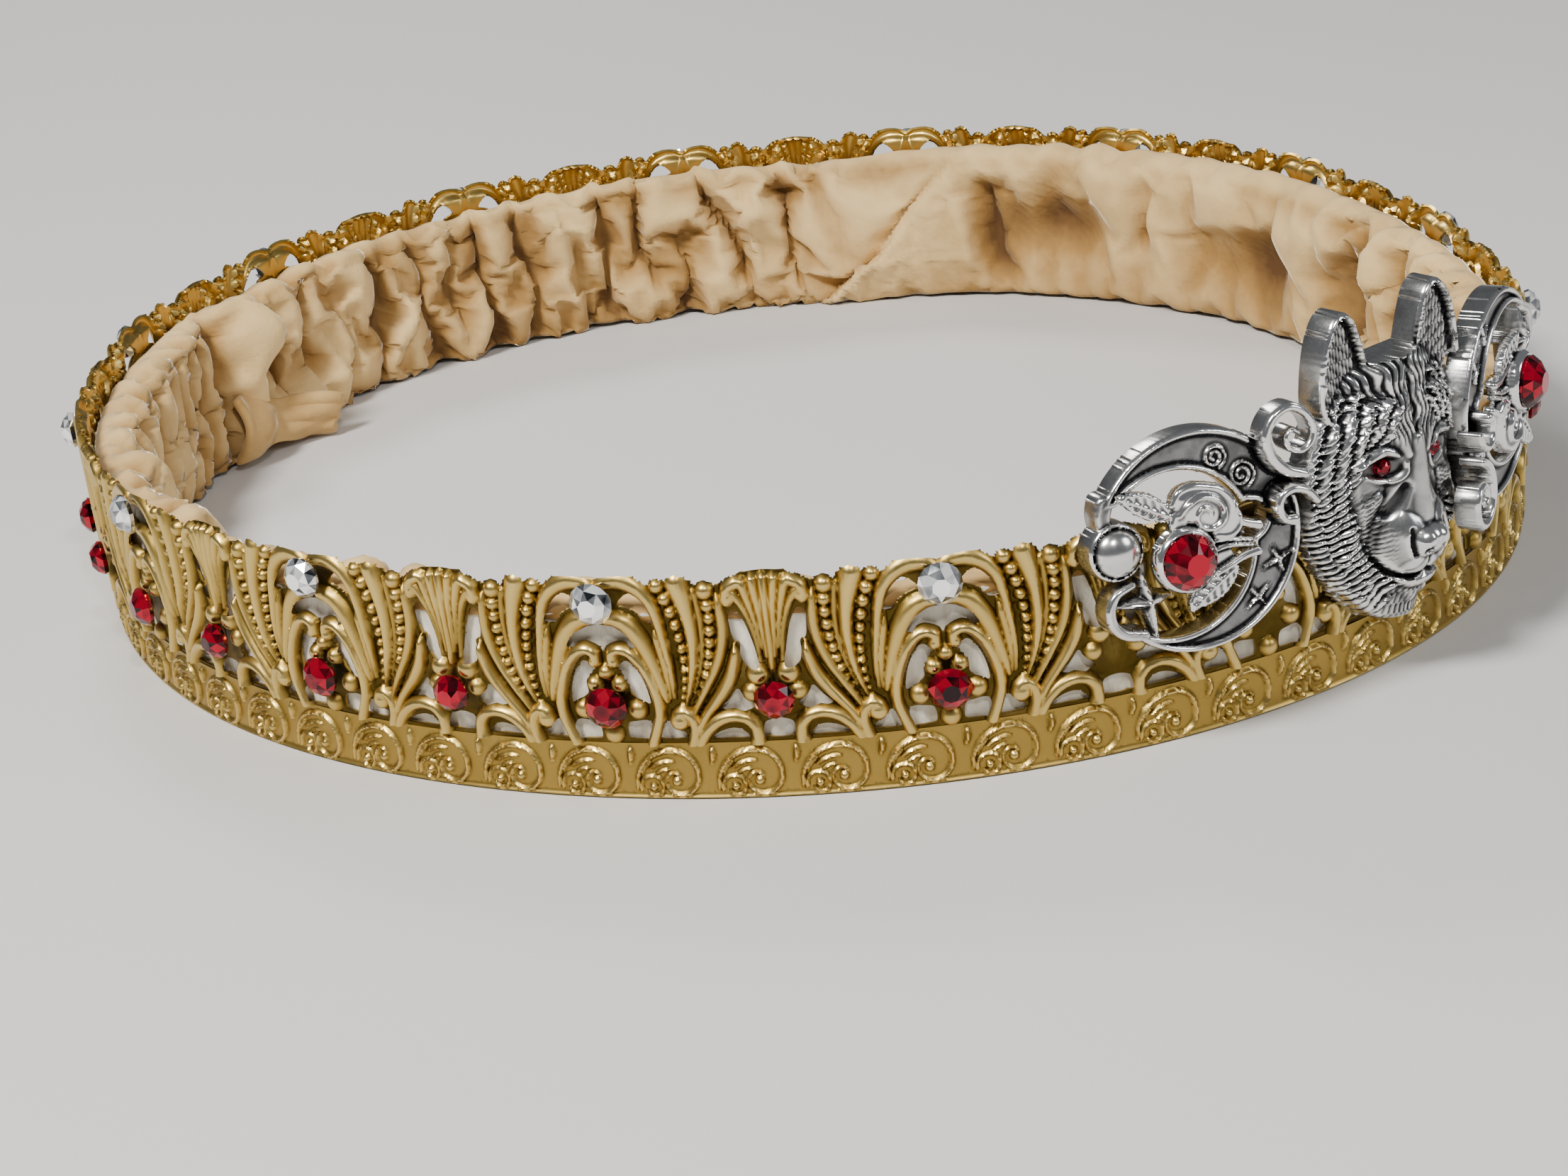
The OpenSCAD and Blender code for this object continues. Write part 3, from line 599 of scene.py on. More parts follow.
def thicken(piece, wall, offset=-1):
    """Gives a sheet its thickness in mm, behind it unless the offset says otherwise."""
    sheet = piece.modifiers.new("wall", "SOLIDIFY")
    sheet.thickness, sheet.offset = wall * MM, offset
    apply_modifiers(piece)


def smooth(piece, angle):
    """Smooth shading, with edges sharper than the angle left crisp."""
    piece.data.polygons.foreach_set("use_smooth", [True] * len(piece.data.polygons))
    piece.data.set_sharp_from_angle(angle=math.radians(angle))


def stamped(piece):
    """Gives the sheet its thickness and notes how high each point stands."""
    outwards(piece)
    face_points = len(piece.data.vertices)
    thicken(piece, SHEET)
    smooth(piece, 50)
    stands = part((stand_off(points_of(piece.data) / MM) + FACE) / HIGHEST)
    stands[face_points:] = PLAIN_BACK
    note(piece.data, "relief", stands)


gilt = Finish("toned_gilt")
stands = gilt.noted("relief")
cloud = gilt.noise(160, 4)
speck = gilt.noise(2200, 2)
scratch = gilt.noise(900, 2, stretch=(1, 1, 0.12))
hollow = gilt.range(stands + 0.30 * (cloud - 0.5), 0.12, 0.72)
rubbed = gilt.range(stands + 0.25 * (cloud - 0.5), 0.62, 1.0)
tone = gilt.ramp(hollow, (0.0, (0.080, 0.050, 0.009)), (0.35, (0.27, 0.175, 0.038)),
                 (1.0, (0.53, 0.355, 0.090)))
tone = gilt.mix(rubbed * 0.60, tone, (0.82, 0.62, 0.235))
tone = gilt.mix(gilt.range(cloud, 0.58, 0.75) * 0.35, tone, (0.30, 0.21, 0.07))
gilt_rough = 0.41 - 0.17 * rubbed + 0.10 * (speck - 0.5) + 0.08 * (cloud - 0.5)
gilt_bump = gilt.bump(speck, 0.12, 0.00004, gilt.bump(scratch, 0.10, 0.00005))
toned_gilt = gilt.surface(Base_Color=tone, Metallic=1.0, Roughness=gilt_rough, Normal=gilt_bump)

ARCH_CELL, ARCH_KEPT = 0.17, 0.29         # mm between points, and the share of faces kept
half_arch = flat_grid("half_arch", 0, HALF, BORDER_TOP, SHEET_TOP, ARCH_CELL)
punch(half_arch, arch_gap, ARCH_CELL)
emboss(half_arch, arch_relief)
upper = repeated(half_arch, DRAWN, REPEATS // 2, ARCH_KEPT)
for side, start in (("right", REPEAT / 2), ("left", REPEAT / 2 + GIRTH / 2)):
    mesh = upper.copy()
    bend(mesh, start)
    stamped(put("gilt_arches_" + side, mesh, toned_gilt, "band"))

# Scroll border: the foot of the same brass stamping, running scrolls over a plain bead. Its
# lines are finer, so how bright they are rubbed is read from a chart of one scroll.
BORDER_CELL, BORDER_KEPT = 0.19, 0.86
CHART = 0.1             # mm between the chart's entries
EDGE_WALL = 1.7         # the border's rims are this many sheets thick
motif = flat_grid("motif", 0, MOTIF, 0.0, BORDER_TOP, BORDER_CELL)
emboss(motif, border_relief)
mesh = repeated(motif, MOTIF, REPEATS * 4)
bend(mesh, REPEAT / 2)
weld(mesh, 0.01 * MM)
border = put("gilt_border", mesh, toned_gilt, "band")
outwards(border)
border.modifiers.new("few", "DECIMATE").ratio = BORDER_KEPT
apply_modifiers(border)
rub = border_rub(*np.meshgrid(np.arange(0, MOTIF, CHART), np.arange(0, BORDER_TOP + CHART, CHART),
                              indexing="ij"))
spots = points_of(border.data) / MM
u = (run_round(spots) - REPEAT / 2) * DRAWN / REPEAT % MOTIF
column = np.round(u / CHART).astype(int) % len(rub)
row = np.clip(np.round(spots[:, 2] / CHART), 0, len(rub[0]) - 1).astype(int)
note(border.data, "relief", rub[column, row])
with opened(border.data) as bm:
    rims = [e for e in bm.edges if e.is_boundary]
    inner = bmesh.ops.extrude_edge_only(bm, edges=rims)["geom"]
    for vert in [v for v in inner if isinstance(v, bmesh.types.BMVert)]:
        vert.co.xy *= 1 - (SHEET * EDGE_WALL * MM) / vert.co.xy.length
    bmesh.ops.bridge_loops(bm, edges=[e for e in inner if isinstance(e, bmesh.types.BMEdge)])
    bmesh.ops.recalc_face_normals(bm, faces=bm.faces)
smooth(border, 50)

# Felt: a strip of cream wool felt, cut to length and glued inside the stamping, so that it
# shows through the punched ground. Its cut edges are fuzzy.
FELT_OUT = -0.80
FELT_FOOT, FELT_TOP = 0.25, 20.4
FELT_WALL = 1.0
NOISE_WAVES = 9         # sine waves in a sum that looks like chance


def strip(name, rows, stations, place):
    """A closed band round the plan: place(s, share up it) gives out and z in mm."""
    bm = bmesh.new()
    bmesh.ops.create_grid(bm, x_segments=stations, y_segments=rows - 1, size=0.5)
    mesh = finished_mesh(name, bm)
    spots = points_of(mesh)
    s, share = (spots[:, 0] + 0.5) * GIRTH, spots[:, 1] + 0.5
    out, z = place(s, share)
    set_points(mesh, on_wall(s, z, out))
    note(mesh, "share", share)
    weld(mesh, 0.002 * MM)
    return mesh


def soft_noise(s, v, seed, pitch):
    """Smooth noise that closes round the ring, from -1 to 1, with waves about pitch mm long."""
    chance = random.Random(seed)
    total = 0
    for _ in range(NOISE_WAVES):
        turns = max(1, round(GIRTH / pitch * chance.uniform(0.7, 1.4)))
        lean, start = chance.uniform(-0.7, 0.7), chance.random()
        total = total + np.sin(2 * np.pi * (turns * s / GIRTH + lean * v + start))
    return total / NOISE_WAVES ** 0.5 / 1.2


def felt_place(s, share):
    top = FELT_TOP + 0.25 * soft_noise(s, 0 * s, 5, 4)
    out = FELT_OUT - 0.12 * (1 + soft_noise(s, share * 5, 6, 3))
    return out, FELT_FOOT + share * (top - FELT_FOOT)


wool = Finish("cream_felt")
fibre = wool.noise(900, 4, 0.7, stretch=(1, 1, 0.35))
matted = wool.noise(260, 3)
cream = wool.ramp(fibre, (0.25, (0.58, 0.50, 0.36)), (0.50, (0.82, 0.77, 0.64)),
                  (0.75, (0.96, 0.93, 0.85)))
cream = wool.mix(wool.range(matted, 0.35, 0.65) * 0.5, cream, (0.78, 0.72, 0.60))
cream_felt = wool.surface(Base_Color=cream, Roughness=0.95, Sheen_Weight=0.4,
                          Normal=wool.bump(fibre, 0.6, 0.0003, wool.bump(matted, 0.4, 0.0004)))
felt_mesh = strip("felt_strip", 17, 560, felt_place)
felt = put("felt_strip", felt_mesh, cream_felt, "backing")
outwards(felt)
thicken(felt, FELT_WALL)
smooth(felt, 60)

# Velvet lining: one long strip of champagne crushed velvet, gathered by hand to about three
# quarters of its length and glued over the felt's top edge and along its foot, so that it
# puffs inwards in uneven pleats with sharp creases between. At the back it laps over itself
# in a point, and its loose end stands off the wall at the left.
LINING_AT = -0.72       # the velvet starts over the felt's top edge
LINING_WALL = -2.6      # and its folds are pressed back no further than this
LINING_TOP = 23.5
WALL_SHARE, ROLL_SHARE = 0.84, 0.16     # of its width lie up the wall, and roll over the top
PUFF = 4.6
PILE = 0.9              # thickness of the pile
SMOOTH_PANEL = 152      # place of the panel that is stretched smooth
LARGER = 10             # the simulation settles it at ten times its size, more steadily
SETTLING = 16           # its steps
# Height that the top loses along the strip: place, drop
TOP_DROPS = np.array([
    (0, 1.6), (42, 1.4), (84, 0.5), (130, 0.1), (168, 0.0), (184, 0.2), (196, 0.9), (206, 1.7),
    (222, 1.0), (248, 1.2), (262, 1.6), (288, 1.4), (304, 1.9), (318, 0.9), (345, 1.6), (372, 1.9),
    (460, 1.7), (560, 1.6)])
# Creases. Columns: place at the top and at the hem, depth, width, the lowest and highest
# share of the strip that it reaches
CREASES = [
    (101, 104, 4.2, 2.6, 0.1, 0.8), (148.5, 150, 3.6, 1.3, 0.42, 0.9), (178, 176, 4.4, 2.2, 0.1, 0.85),
    (212, 210, 3.8, 1.5, 0.2, 0.95), (226, 217, 4.2, 1.6, 0.25, 0.95),
    (229, 230, 3.4, 1.5, 0.0, 0.7), (236, 234, 3.6, 1.6, 0.3, 1.0), (243, 241, 4.4, 1.7, 0.0, 1.0),
    (248.5, 246, 3.0, 1.2, 0.0, 0.7), (256, 254, 4.4, 1.7, 0.0, 1.0), (264, 261.5, 4.2, 1.6, 0.0, 1.0),
    (269, 268, 2.6, 1.2, 0.3, 1.0), (275, 273, 4.4, 1.7, 0.0, 1.0), (284, 283, 4.4, 1.7, 0.0, 1.0),
    (291, 292, 3.0, 1.4, 0.2, 0.9), (297.5, 299, 3.8, 1.6, 0.35, 1.0), (309, 305, 5.0, 1.7, 0.35, 0.95),
    (321, 322, 3.8, 1.5, 0.0, 1.0), (327, 328, 3.0, 1.2, 0.0, 1.0), (332, 333, 2.8, 1.1, 0.1, 1.0),
    (337, 338, 3.0, 1.2, 0.0, 1.0), (342, 343, 2.8, 1.1, 0.0, 0.9), (347, 349, 3.2, 1.2, 0.0, 1.0),
    (353, 355, 3.0, 1.2, 0.1, 1.0), (359, 361, 3.2, 1.3, 0.0, 1.0), (366, 367, 3.2, 1.4, 0.0, 1.0)]
# Swellings and dents. Columns: place, share up the strip, reach along it, reach up, height
SWELLINGS = (
    (167, 0.50, 13, 0.34, -4.2), (128, 0.45, 17, 0.36, -3.8), (104, 0.5, 8, 0.4, -2.6),
    (148, 0.72, 6, 0.30, 2.2), (150, 1.00, 60, 0.20, 1.2), (314, 0.85, 9, 0.28, 2.6),
    (309, 0.60, 5, 0.13, -2.6), (304, 0.10, 8, 0.22, 4.0), (219, 0.75, 6, 0.25, 1.4),
    (252, 0.8, 5, 0.25, 0.9), (279, 0.45, 4, 0.3, 0.9))
# Where the strip laps over itself: place of the edge at the top and at the hem, height
LAP_TOP, LAP_HEM, LAP_HEIGHT = 183.0, 207.0, 4.6


def further_creases(start, end):
    """Creases of the stretches that the list leaves to chance."""
    chance, at, rows = random.Random(21), start, []
    while at < end:
        lean = chance.uniform(-3.5, 3.5)
        rows.append((at, at + lean, chance.uniform(2.6, 4.4), chance.uniform(1.2, 1.8),
                     chance.choice((0.0, 0.0, 0.3)), chance.choice((1.0, 1.0, 0.7))))
        at += chance.uniform(5.5, 11.0)
    return rows


CREASES += further_creases(374, GIRTH + 94)


def lining_place(s, share, want_held=False):
    """How far out and how high each point lies, or else how firmly it is held."""
    face = part(share / WALL_SHARE)
    held = np.where((share > 0.92) | (face < 0.01), 1.0, 0.0)
    wander = s + 1.1 * soft_noise(s, face * 1.6, 11, 24) + 0.45 * soft_noise(s, face * 3.0, 12, 9)
    puff = PUFF + 0.7 * soft_noise(s, face, 13, 18) + 0.30 * soft_noise(s, face * 3, 14, 7)

    def round_to(place):
        return (wander - place + GIRTH / 2) % GIRTH - GIRTH / 2

    for top_at, hem_at, depth, width, low, high in CREASES:
        away = np.abs(round_to(hem_at + (top_at - hem_at) * face))
        reach = part((face - low + 0.10) / 0.20)
        reach = reach * part((high - face + 0.10) / 0.20)
        reach = (3 - 2 * reach) * reach * reach
        puff = puff - depth * np.exp(-np.sqrt(away ** 2 + 0.09) / width) * reach
        held = np.maximum(held, np.where(away < 0.5, reach * depth / 4.2, 0))
    for at, middle, along, tall, rise in SWELLINGS:
        swell = np.exp(-(round_to(at) / along) ** 2 * 2 - ((face - middle) / tall) ** 2 * 2)
        puff = puff + rise * swell
        held = np.maximum(held, swell * min(1, max(0, -rise / 4)))
    lap = round_to(LAP_HEM + (LAP_TOP - LAP_HEM) * face)
    lift = LAP_HEIGHT * np.where(lap < 0, np.exp(lap / 9), part(1 - lap / 1.5))
    puff = puff + lift * (1 - 0.85 * face)
    held = np.maximum(held, 0.9 * part(1.6 - np.abs(lap + 0.4)) * (face < 0.9))
    held = np.maximum(held, 0.35 * (lap < 0) * (lap > -22))
    foot = 0.55 + 0.45 * part(face / 0.3) ** 0.6
    puff = np.maximum(puff * foot, 0.3) + LINING_AT - LINING_WALL
    drop = np.interp(s, TOP_DROPS[:, 0], TOP_DROPS[:, 1])
    top = LINING_TOP - drop + 0.25 * soft_noise(s, 0 * s, 15, 9)
    top = top - 0.10 * (PUFF - np.clip(puff, 0, PUFF))
    hem = 0.3 + 0.28 * np.clip(PUFF + 0.6 - puff, 0, 5)
    crown = np.maximum(puff * 0.42, 1.2)
    shoulder = part((face - 0.70) / 0.30) ** 3
    over = part((share - WALL_SHARE) / ROLL_SHARE) * np.pi
    rolled = crown * (1 + np.cos(over)), top - 1.5 + 1.5 * np.sin(over) - 0.3 * over / np.pi
    up = share < WALL_SHARE
    out = np.where(up, puff * (1 - shoulder) + 2 * crown * shoulder, rolled[0])
    z = np.where(up, hem + face * (top - 1.5 - hem), rolled[1])
    return part(held) if want_held else (LINING_AT - out, z)


def loose_end_place(along, across):
    """The strip's loose end: from under a pleat it stands off inwards, cut a little askew."""
    s = 324 - (18 + 2.5 * across + 0.5 * np.sin(across * 19)) * along
    curl = 1.4 * np.sin(along * 6.5 + across * 1.8) + 0.7 * np.sin(along * 13 - across * 4)
    out = -6.8 - 7.0 * along ** 1.5 - 2.2 * np.sin(across * 3) * (1.2 - along) - curl * 0.8
    tall = 9.5 - 5.0 * along + 0.5 * np.sin(along * 9)
    z = 1.3 + across * tall + 0.6 * np.sin(along * 5) * (1 - across)
    return s, z, out


velvet = Finish("gathered_velvet")
pile = velvet.noise(1500, 3, 0.6)
crush = velvet.noise(75, 4, 0.6)
# Painted light: the noted attribute paints shade dark into the creases and hollows and paints a highlight
# pale on the puffs and the rolled top; the crush noise is the velvet's own patchy pile.
crest = velvet.noted("crest")
crush_and_fold_light = crest + 0.9 * (crush - 0.5)
champagne = velvet.ramp(crush_and_fold_light, (0.0, (0.10, 0.042, 0.007)), (0.45, (0.36, 0.195, 0.050)),
                        (1.0, (0.76, 0.53, 0.235)))
velvet_pile = velvet.surface(Base_Color=champagne, Roughness=0.85, Sheen_Weight=0.80,
                             Sheen_Roughness=0.30, Sheen_Tint=(1.0, 0.92, 0.75),
                             Normal=velvet.bump(pile, 0.35, 0.00025, velvet.bump(crush, 0.3, 0.0006)))


def weigh(piece, name, weights, least):
    """A group of the points above the least weight, in steps of a tenth."""
    group, steps = piece.vertex_groups.new(name=name), np.round(weights, 1)
    for level in np.unique(steps):
        if level > least:
            group.add([int(i) for i in np.flatnonzero(steps == level)], float(level), "REPLACE")


def let_go(sheet):
    """Lets the velvet go between its stitched creases: it swells and buckles as gathered
    velvet does."""
    loose = sheet.data.copy()
    set_points(loose, points_of(loose) * LARGER)
    cloth = link("cloth", loose)
    s = run_round(points_of(sheet.data) / MM)
    share = np.empty(len(s))
    loose.attributes["share"].data.foreach_get("value", share)
    weigh(cloth, "held", lining_place(s, share, True), 0.3)
    weigh(cloth, "plain", np.clip(2.9 - np.abs(s - SMOOTH_PANEL) / 20, 0, 0.85), 0)
    fall = cloth.modifiers.new("fall", "CLOTH")
    how = fall.settings
    how.quality, how.mass, how.air_damping = 5, 0.3, 2.0
    how.tension_stiffness = how.compression_stiffness = 20
    how.shear_stiffness, how.bending_stiffness = 8, 3.0
    how.vertex_group_mass = "held"
    how.vertex_group_shrink = "plain"         # what isn't plain has a quarter more velvet
    how.shrink_max, how.shrink_min = 0.0, -0.24
    how.use_pressure, how.uniform_pressure_force = True, -4.0
    how.effector_weights.gravity = 0.3
    fall.collision_settings.use_collision = False
    fall.collision_settings.use_self_collision = False
    for frame_number in range(1, SETTLING + 1):
        bpy.context.scene.frame_set(frame_number)
    apply_modifiers(cloth)
    bpy.context.scene.frame_set(1)
    spots = points_of(cloth.data) / LARGER
    bpy.data.objects.remove(cloth)
    radius = np.hypot(spots[:, 0], spots[:, 1])
    limit = (plan_radius(angle_round(spots)) + LINING_WALL) * MM
    behind = (share < WALL_SHARE) & (radius > limit)       # the felt stops it
    spots[behind, :2] *= (limit / radius)[behind, None]
    spots[:, 2] = np.maximum(spots[:, 2], 0.1 * MM)
    set_points(sheet.data, spots)


velvet_mesh = strip("velvet_lining", 40, 660, lining_place)
lining = put("velvet_lining", velvet_mesh, velvet_pile, "lining")
outwards(lining)
let_go(lining)
spots = points_of(lining.data) / MM
# Painted light: the further a point puffs from the wall, the paler it is painted, so the hollows by the
# wall get painted shade; the rolled top above 18.5 mm gets a painted highlight.
crest = part((-stand_off(spots) - 2.8) / 5.5)
note(lining.data, "crest", np.maximum(crest, np.clip((spots[:, 2] - 18.5) / 4.0, 0, 0.9)))
thicken(lining, PILE, 1)
spots = points_of(lining.data)
spots[:, 2] = np.maximum(spots[:, 2], 0.05 * MM)      # the hem stands on the table
set_points(lining.data, spots)
smooth(lining, 180)

# Loose end: the last bit of the same velvet strip, doubled, left standing off the wall.
end_mesh = flat_grid("loose_end", 0, 1, 0, 1, 0.05)
spots = points_of(end_mesh)
set_points(end_mesh, on_wall(*loose_end_place(spots[:, 0], spots[:, 1])))
# The loose end gets one even mid level of the same painted light.
note(end_mesh, "crest", [0.6] * len(spots))
loose_end = put("lining_loose_end", end_mesh, velvet_pile)
pile_depth = loose_end.modifiers.new("pile", "SOLIDIFY")
pile_depth.thickness, pile_depth.offset = 1.4 * MM, 0
rounding = loose_end.modifiers.new("rounding", "SUBSURF")
rounding.levels = rounding.render_levels = 1
smooth(loose_end, 180)

# Stones: small flat-backed foiled crystals, glued on the arches and the flowers. A clear
# one sits at each arch's crown, a red one below it and one on each flower between.
STONE_BACK = 1.0        # their flat backs lie this far outside the strip's face
STONE_HIGH = 1.75       # the height of their crowns
# Columns: node, colour, how many, first place along the strip in repeats, height, diameter
STONE_ROWS = (
    ("clear_stone", "clear_crystal", 14, 1.5, 22.7, 4.6),
    ("arch_stone", "red_crystal", 14, 1.5, 11.1, 4.6),
    ("fan_stone", "red_crystal", 13, 2.0, 11.7, 4.2))


def wall_frame(s, z, out):
    """Axes for a piece on the strip: x along it, y up, z outwards, in mm to metres."""
    at = Vector(on_wall(s, z, out))
    along = Vector(on_wall(s + 0.5, z, 0) - on_wall(s - 0.5, z, 0)).normalized()
    axes = Matrix((along, Vector((0, 0, 1)), along.cross(Vector((0, 0, 1))))).transposed()
    return Matrix.Translation(at) @ axes.to_4x4() @ Matrix.Scale(MM, 4)


def cut_stone(name, diameter, height, sides):
    """A brilliant-cut crown on a low girdle with a flat back, in mm round the origin."""
    bm = bmesh.new()
    r, turn = diameter / 2, math.pi / sides
    foot, girdle = (r * 0.92, 0.0, 2 * sides, 0), (r, height * 0.30, 2 * sides, 0)
    crown, top = (r * 0.78, height * 0.70, sides, turn), (r * 0.42, height, sides, 0)
    for radius, z, count, start in (foot, girdle, crown, top):
        for k in range(count):
            angle = start + k * 2 * math.pi / count
            bm.verts.new((radius * math.cos(angle), radius * math.sin(angle), z))
    bmesh.ops.convex_hull(bm, input=bm.verts)
    bmesh.ops.dissolve_limit(bm, angle_limit=0.01, verts=bm.verts, edges=bm.edges)
    return finished_mesh(name, bm)


def painted_facet_reflections(mesh, seed):
    """Each facet gets its own random shade: a painted reflection, as a foiled stone shows when it is
    turned.
    """
    chance = random.Random(seed)
    shade = mesh.attributes.new("facet", "FLOAT", "FACE")
    shade.data.foreach_set("value", [chance.random() for _ in mesh.polygons])


# Painted reflection: each facet's random shade and the fine cells paint the stone dark and bright as light
# off a foiled stone; the clear stones also glow a little, a painted sparkle.
def crystal(name, dark, middle, bright, gloss, painted_glow):
    stone = Finish(name)
    facet = stone.noted("facet")
    inner = stone.node("TexVoronoi", {"feature": "F1"}, Vector=stone.place(), Scale=900.0)
    painted_facet_colour = stone.ramp(facet * 0.85 + inner * 0.35, (0.22, dark), (0.55, middle), (0.85, bright))
    return stone.surface(Base_Color=painted_facet_colour, Metallic=0.65, Roughness=0.06, Coat_Weight=gloss,
                         Coat_Roughness=0.03, Emission_Color=painted_facet_colour, Emission_Strength=painted_glow)


crystals = {
    "red_crystal": crystal("red_crystal", (0.010, 0.0, 0.001), (0.13, 0.0, 0.007),
                           (0.46, 0.001, 0.022), 0.30, 0.0),
    "clear_crystal": crystal("clear_crystal", (0.015, 0.017, 0.02), (0.30, 0.32, 0.34),
                             (1.0, 1.0, 1.0), 0.8, 0.10)}


def set_stone(name, cut, at, slot, node, seed):
    """Cuts a stone of this diameter, height and number of sides, and sets it in its place."""
    mesh = cut_stone(name, *cut)
    painted_facet_reflections(mesh, seed)
    mesh.transform(at)
    put(name, mesh, crystals[slot], node)


for kind, slot, count, first, z, diameter in STONE_ROWS:
    for number in range(1, count + 1):
        node = "%s_%02d" % (kind, number)
        turned = Matrix.Rotation(random.Random(node).uniform(0, 2 * math.pi), 4, "Z")
        at = wall_frame((first + number - 1) * REPEAT, z, STONE_BACK) @ turned
        set_stone("cut_" + node, (diameter, STONE_HIGH, 8), at, slot, node, node)

# Castings: two crescents and a wolf's head, cast in white metal with a thick plate behind,
# oxidised black and rubbed bright on the high lines, and glued on the front of the strip.
CASTING_OUT = 0.81      # the castings' backs lie this far outside the strip's face
RAGGED = -0.06          # a point this little outside a form still takes its height
ABSENT = -9.0           # height where a form isn't, below all the others
RIM_SHINE, BACK_SHINE = 0.62, 0.55      # how bright a casting's edges and its back are rubbed


def cover(x, y, points):
    """Distance inside a bar that follows a curve of x, y, half width, negative outside it."""
    curve, inside = flowing(points), np.full(x.shape, ABSENT)
    near = beside(x, y, curve, curve[:, 2].max() + 1.0)
    px, py, best = x[near], y[near], np.full(near.sum(), ABSENT)
    for a, b in zip(curve, curve[1:]):
        step = b[:2] - a[:2]
        t = part(((px - a[0]) * step[0] + (py - a[1]) * step[1]) / (step @ step + 1e-12))
        away = np.hypot(px - a[0] - t * step[0], py - a[1] - t * step[1])
        best = np.maximum(best, a[2] + t * (b[2] - a[2]) - away)
    inside[near] = best
    return inside


def rounded(inside, level, rise, edge):
    """A form's height: level at its edge, rising in a quarter round over the edge width."""
    d = part(inside / edge)
    return np.where(inside > RAGGED, level + rise * np.sqrt(1 - (1 - d) ** 2), ABSENT)


def spiral(x, y, outer, inner, start, turns, half_width):
    """Points of a spiral ridge, from its outer end inwards. Angles in degrees."""
    rows = []
    for k in range(int(turns * 10) + 1):
        share = k / (turns * 10)
        angle, radius = math.radians(start + 360 * turns * share), outer + (inner - outer) * share
        rows.append((x + radius * math.cos(angle), y + radius * math.sin(angle), half_width))
    return rows


def cast(name, box, cell, form, back):
    """A casting from its relief: form(x, y) gives distance inside its outline and height,
    and back(x, y) the height of its rear face. Notes how far each point stands proud."""
    mesh = flat_grid(name, *box, cell)
    punch(mesh, lambda x, y: -form(x, y)[0], cell)
    spots = points_of(mesh)
    x, y = spots[:, 0].copy(), spots[:, 1].copy()
    height = form(x, y)[1]
    around = np.zeros_like(height)
    for dx, dy in steps_round(0.45):
        around += np.maximum(form(x + dx, y + dy)[1], height - 1.2) / 8
    spots[:, 2] = height
    set_points(mesh, spots)
    polish = 0.22 * part((height / height.max() - 0.72) / 0.22)
    note(mesh, "relief", part(0.5 + (height - around) / 0.5 + polish))
    with opened(mesh) as bm:
        bmesh.ops.recalc_face_normals(bm, faces=bm.faces)
        stands = bm.verts.layers.float["relief"]
        for vert in bm.verts:
            if vert.is_boundary:
                vert[stands] = RIM_SHINE
        front = list(bm.faces)
        rear = bmesh.ops.extrude_face_region(bm, geom=front, use_keep_orig=True)["geom"]
        moved = [v for v in rear if isinstance(v, bmesh.types.BMVert)]
        level = back(np.array([v.co.x for v in moved]), np.array([v.co.y for v in moved]))
        for vert, z in zip(moved, level):
            vert.co.z = z
            vert[stands] = BACK_SHINE
        bmesh.ops.recalc_face_normals(bm, faces=bm.faces)
    return mesh


def silver(name, low, high, gleam):
    """White metal: dark where it lies low, bright where it stands proud."""
    metal = Finish(name)
    stands = metal.noted("relief")
    cloud = metal.noise(420, 4)
    speck = metal.noise(3000, 2)
    lift = metal.range(stands + 0.25 * (cloud - 0.5), low, high)
    tone = metal.ramp(lift, (0.0, (0.014, 0.014, 0.016)), (0.38, (0.17, 0.17, 0.172)),
                      (0.58, (0.42, 0.42, 0.415)), (0.85, (0.80, 0.79, 0.77)),
                      (1.0, (0.90, 0.89, 0.87)))
    tone = metal.mix(metal.range(cloud, 0.60, 0.78) * 0.4, tone, (0.17, 0.16, 0.15))
    rough = 0.42 - gleam * lift + 0.10 * (speck - 0.5)
    return metal.surface(Base_Color=tone, Metallic=1.0, Roughness=rough,
                         Normal=metal.bump(speck, 0.10, 0.00004, metal.bump(cloud, 0.18, 0.0001)))


antique = silver("antique_silver", 0.28, 0.80, 0.27)
bright = silver("bright_silver", 0.12, 0.60, 0.28)

# Crescent, in mm round its middle: a plate open at the left, with a bright rim round both
# edges, spirals and stars on its face, and a domed cup and a hook that close the opening.
CRESCENT_R = 11.5
CRESCENT_T = 2.8
CRESCENT_FACE = CRESCENT_T - 0.5        # the face lies below the rims
INNER_AT, INNER_R = (-2.6, -0.8), 8.5
NOTCH = [(5.2, 2.7), (6.3, 2.75), (7.2, 2.3), (7.75, 1.15), (7.3, -0.1), (6.3, -0.8), (5.3, -1.1),
         (4.6, 0.8)]
# Columns: x, y, length of an arm, its half width, turn
STARS = ((8.6, -3.9, 1.9, 0.35, 20), (6.0, -7.3, 1.6, 0.30, 35))
# Columns: x, y, outer and inner radius, where it starts, turns
FACE_SPIRALS = ((2.7, 8.1, 1.3, 0.30, -70, 1.9), (5.5, 5.7, 1.5, 0.32, -60, 2.0))
CUP_AT, CUP_R, CUP_LIP = (-9.05, 0.93), 3.0, 0.42
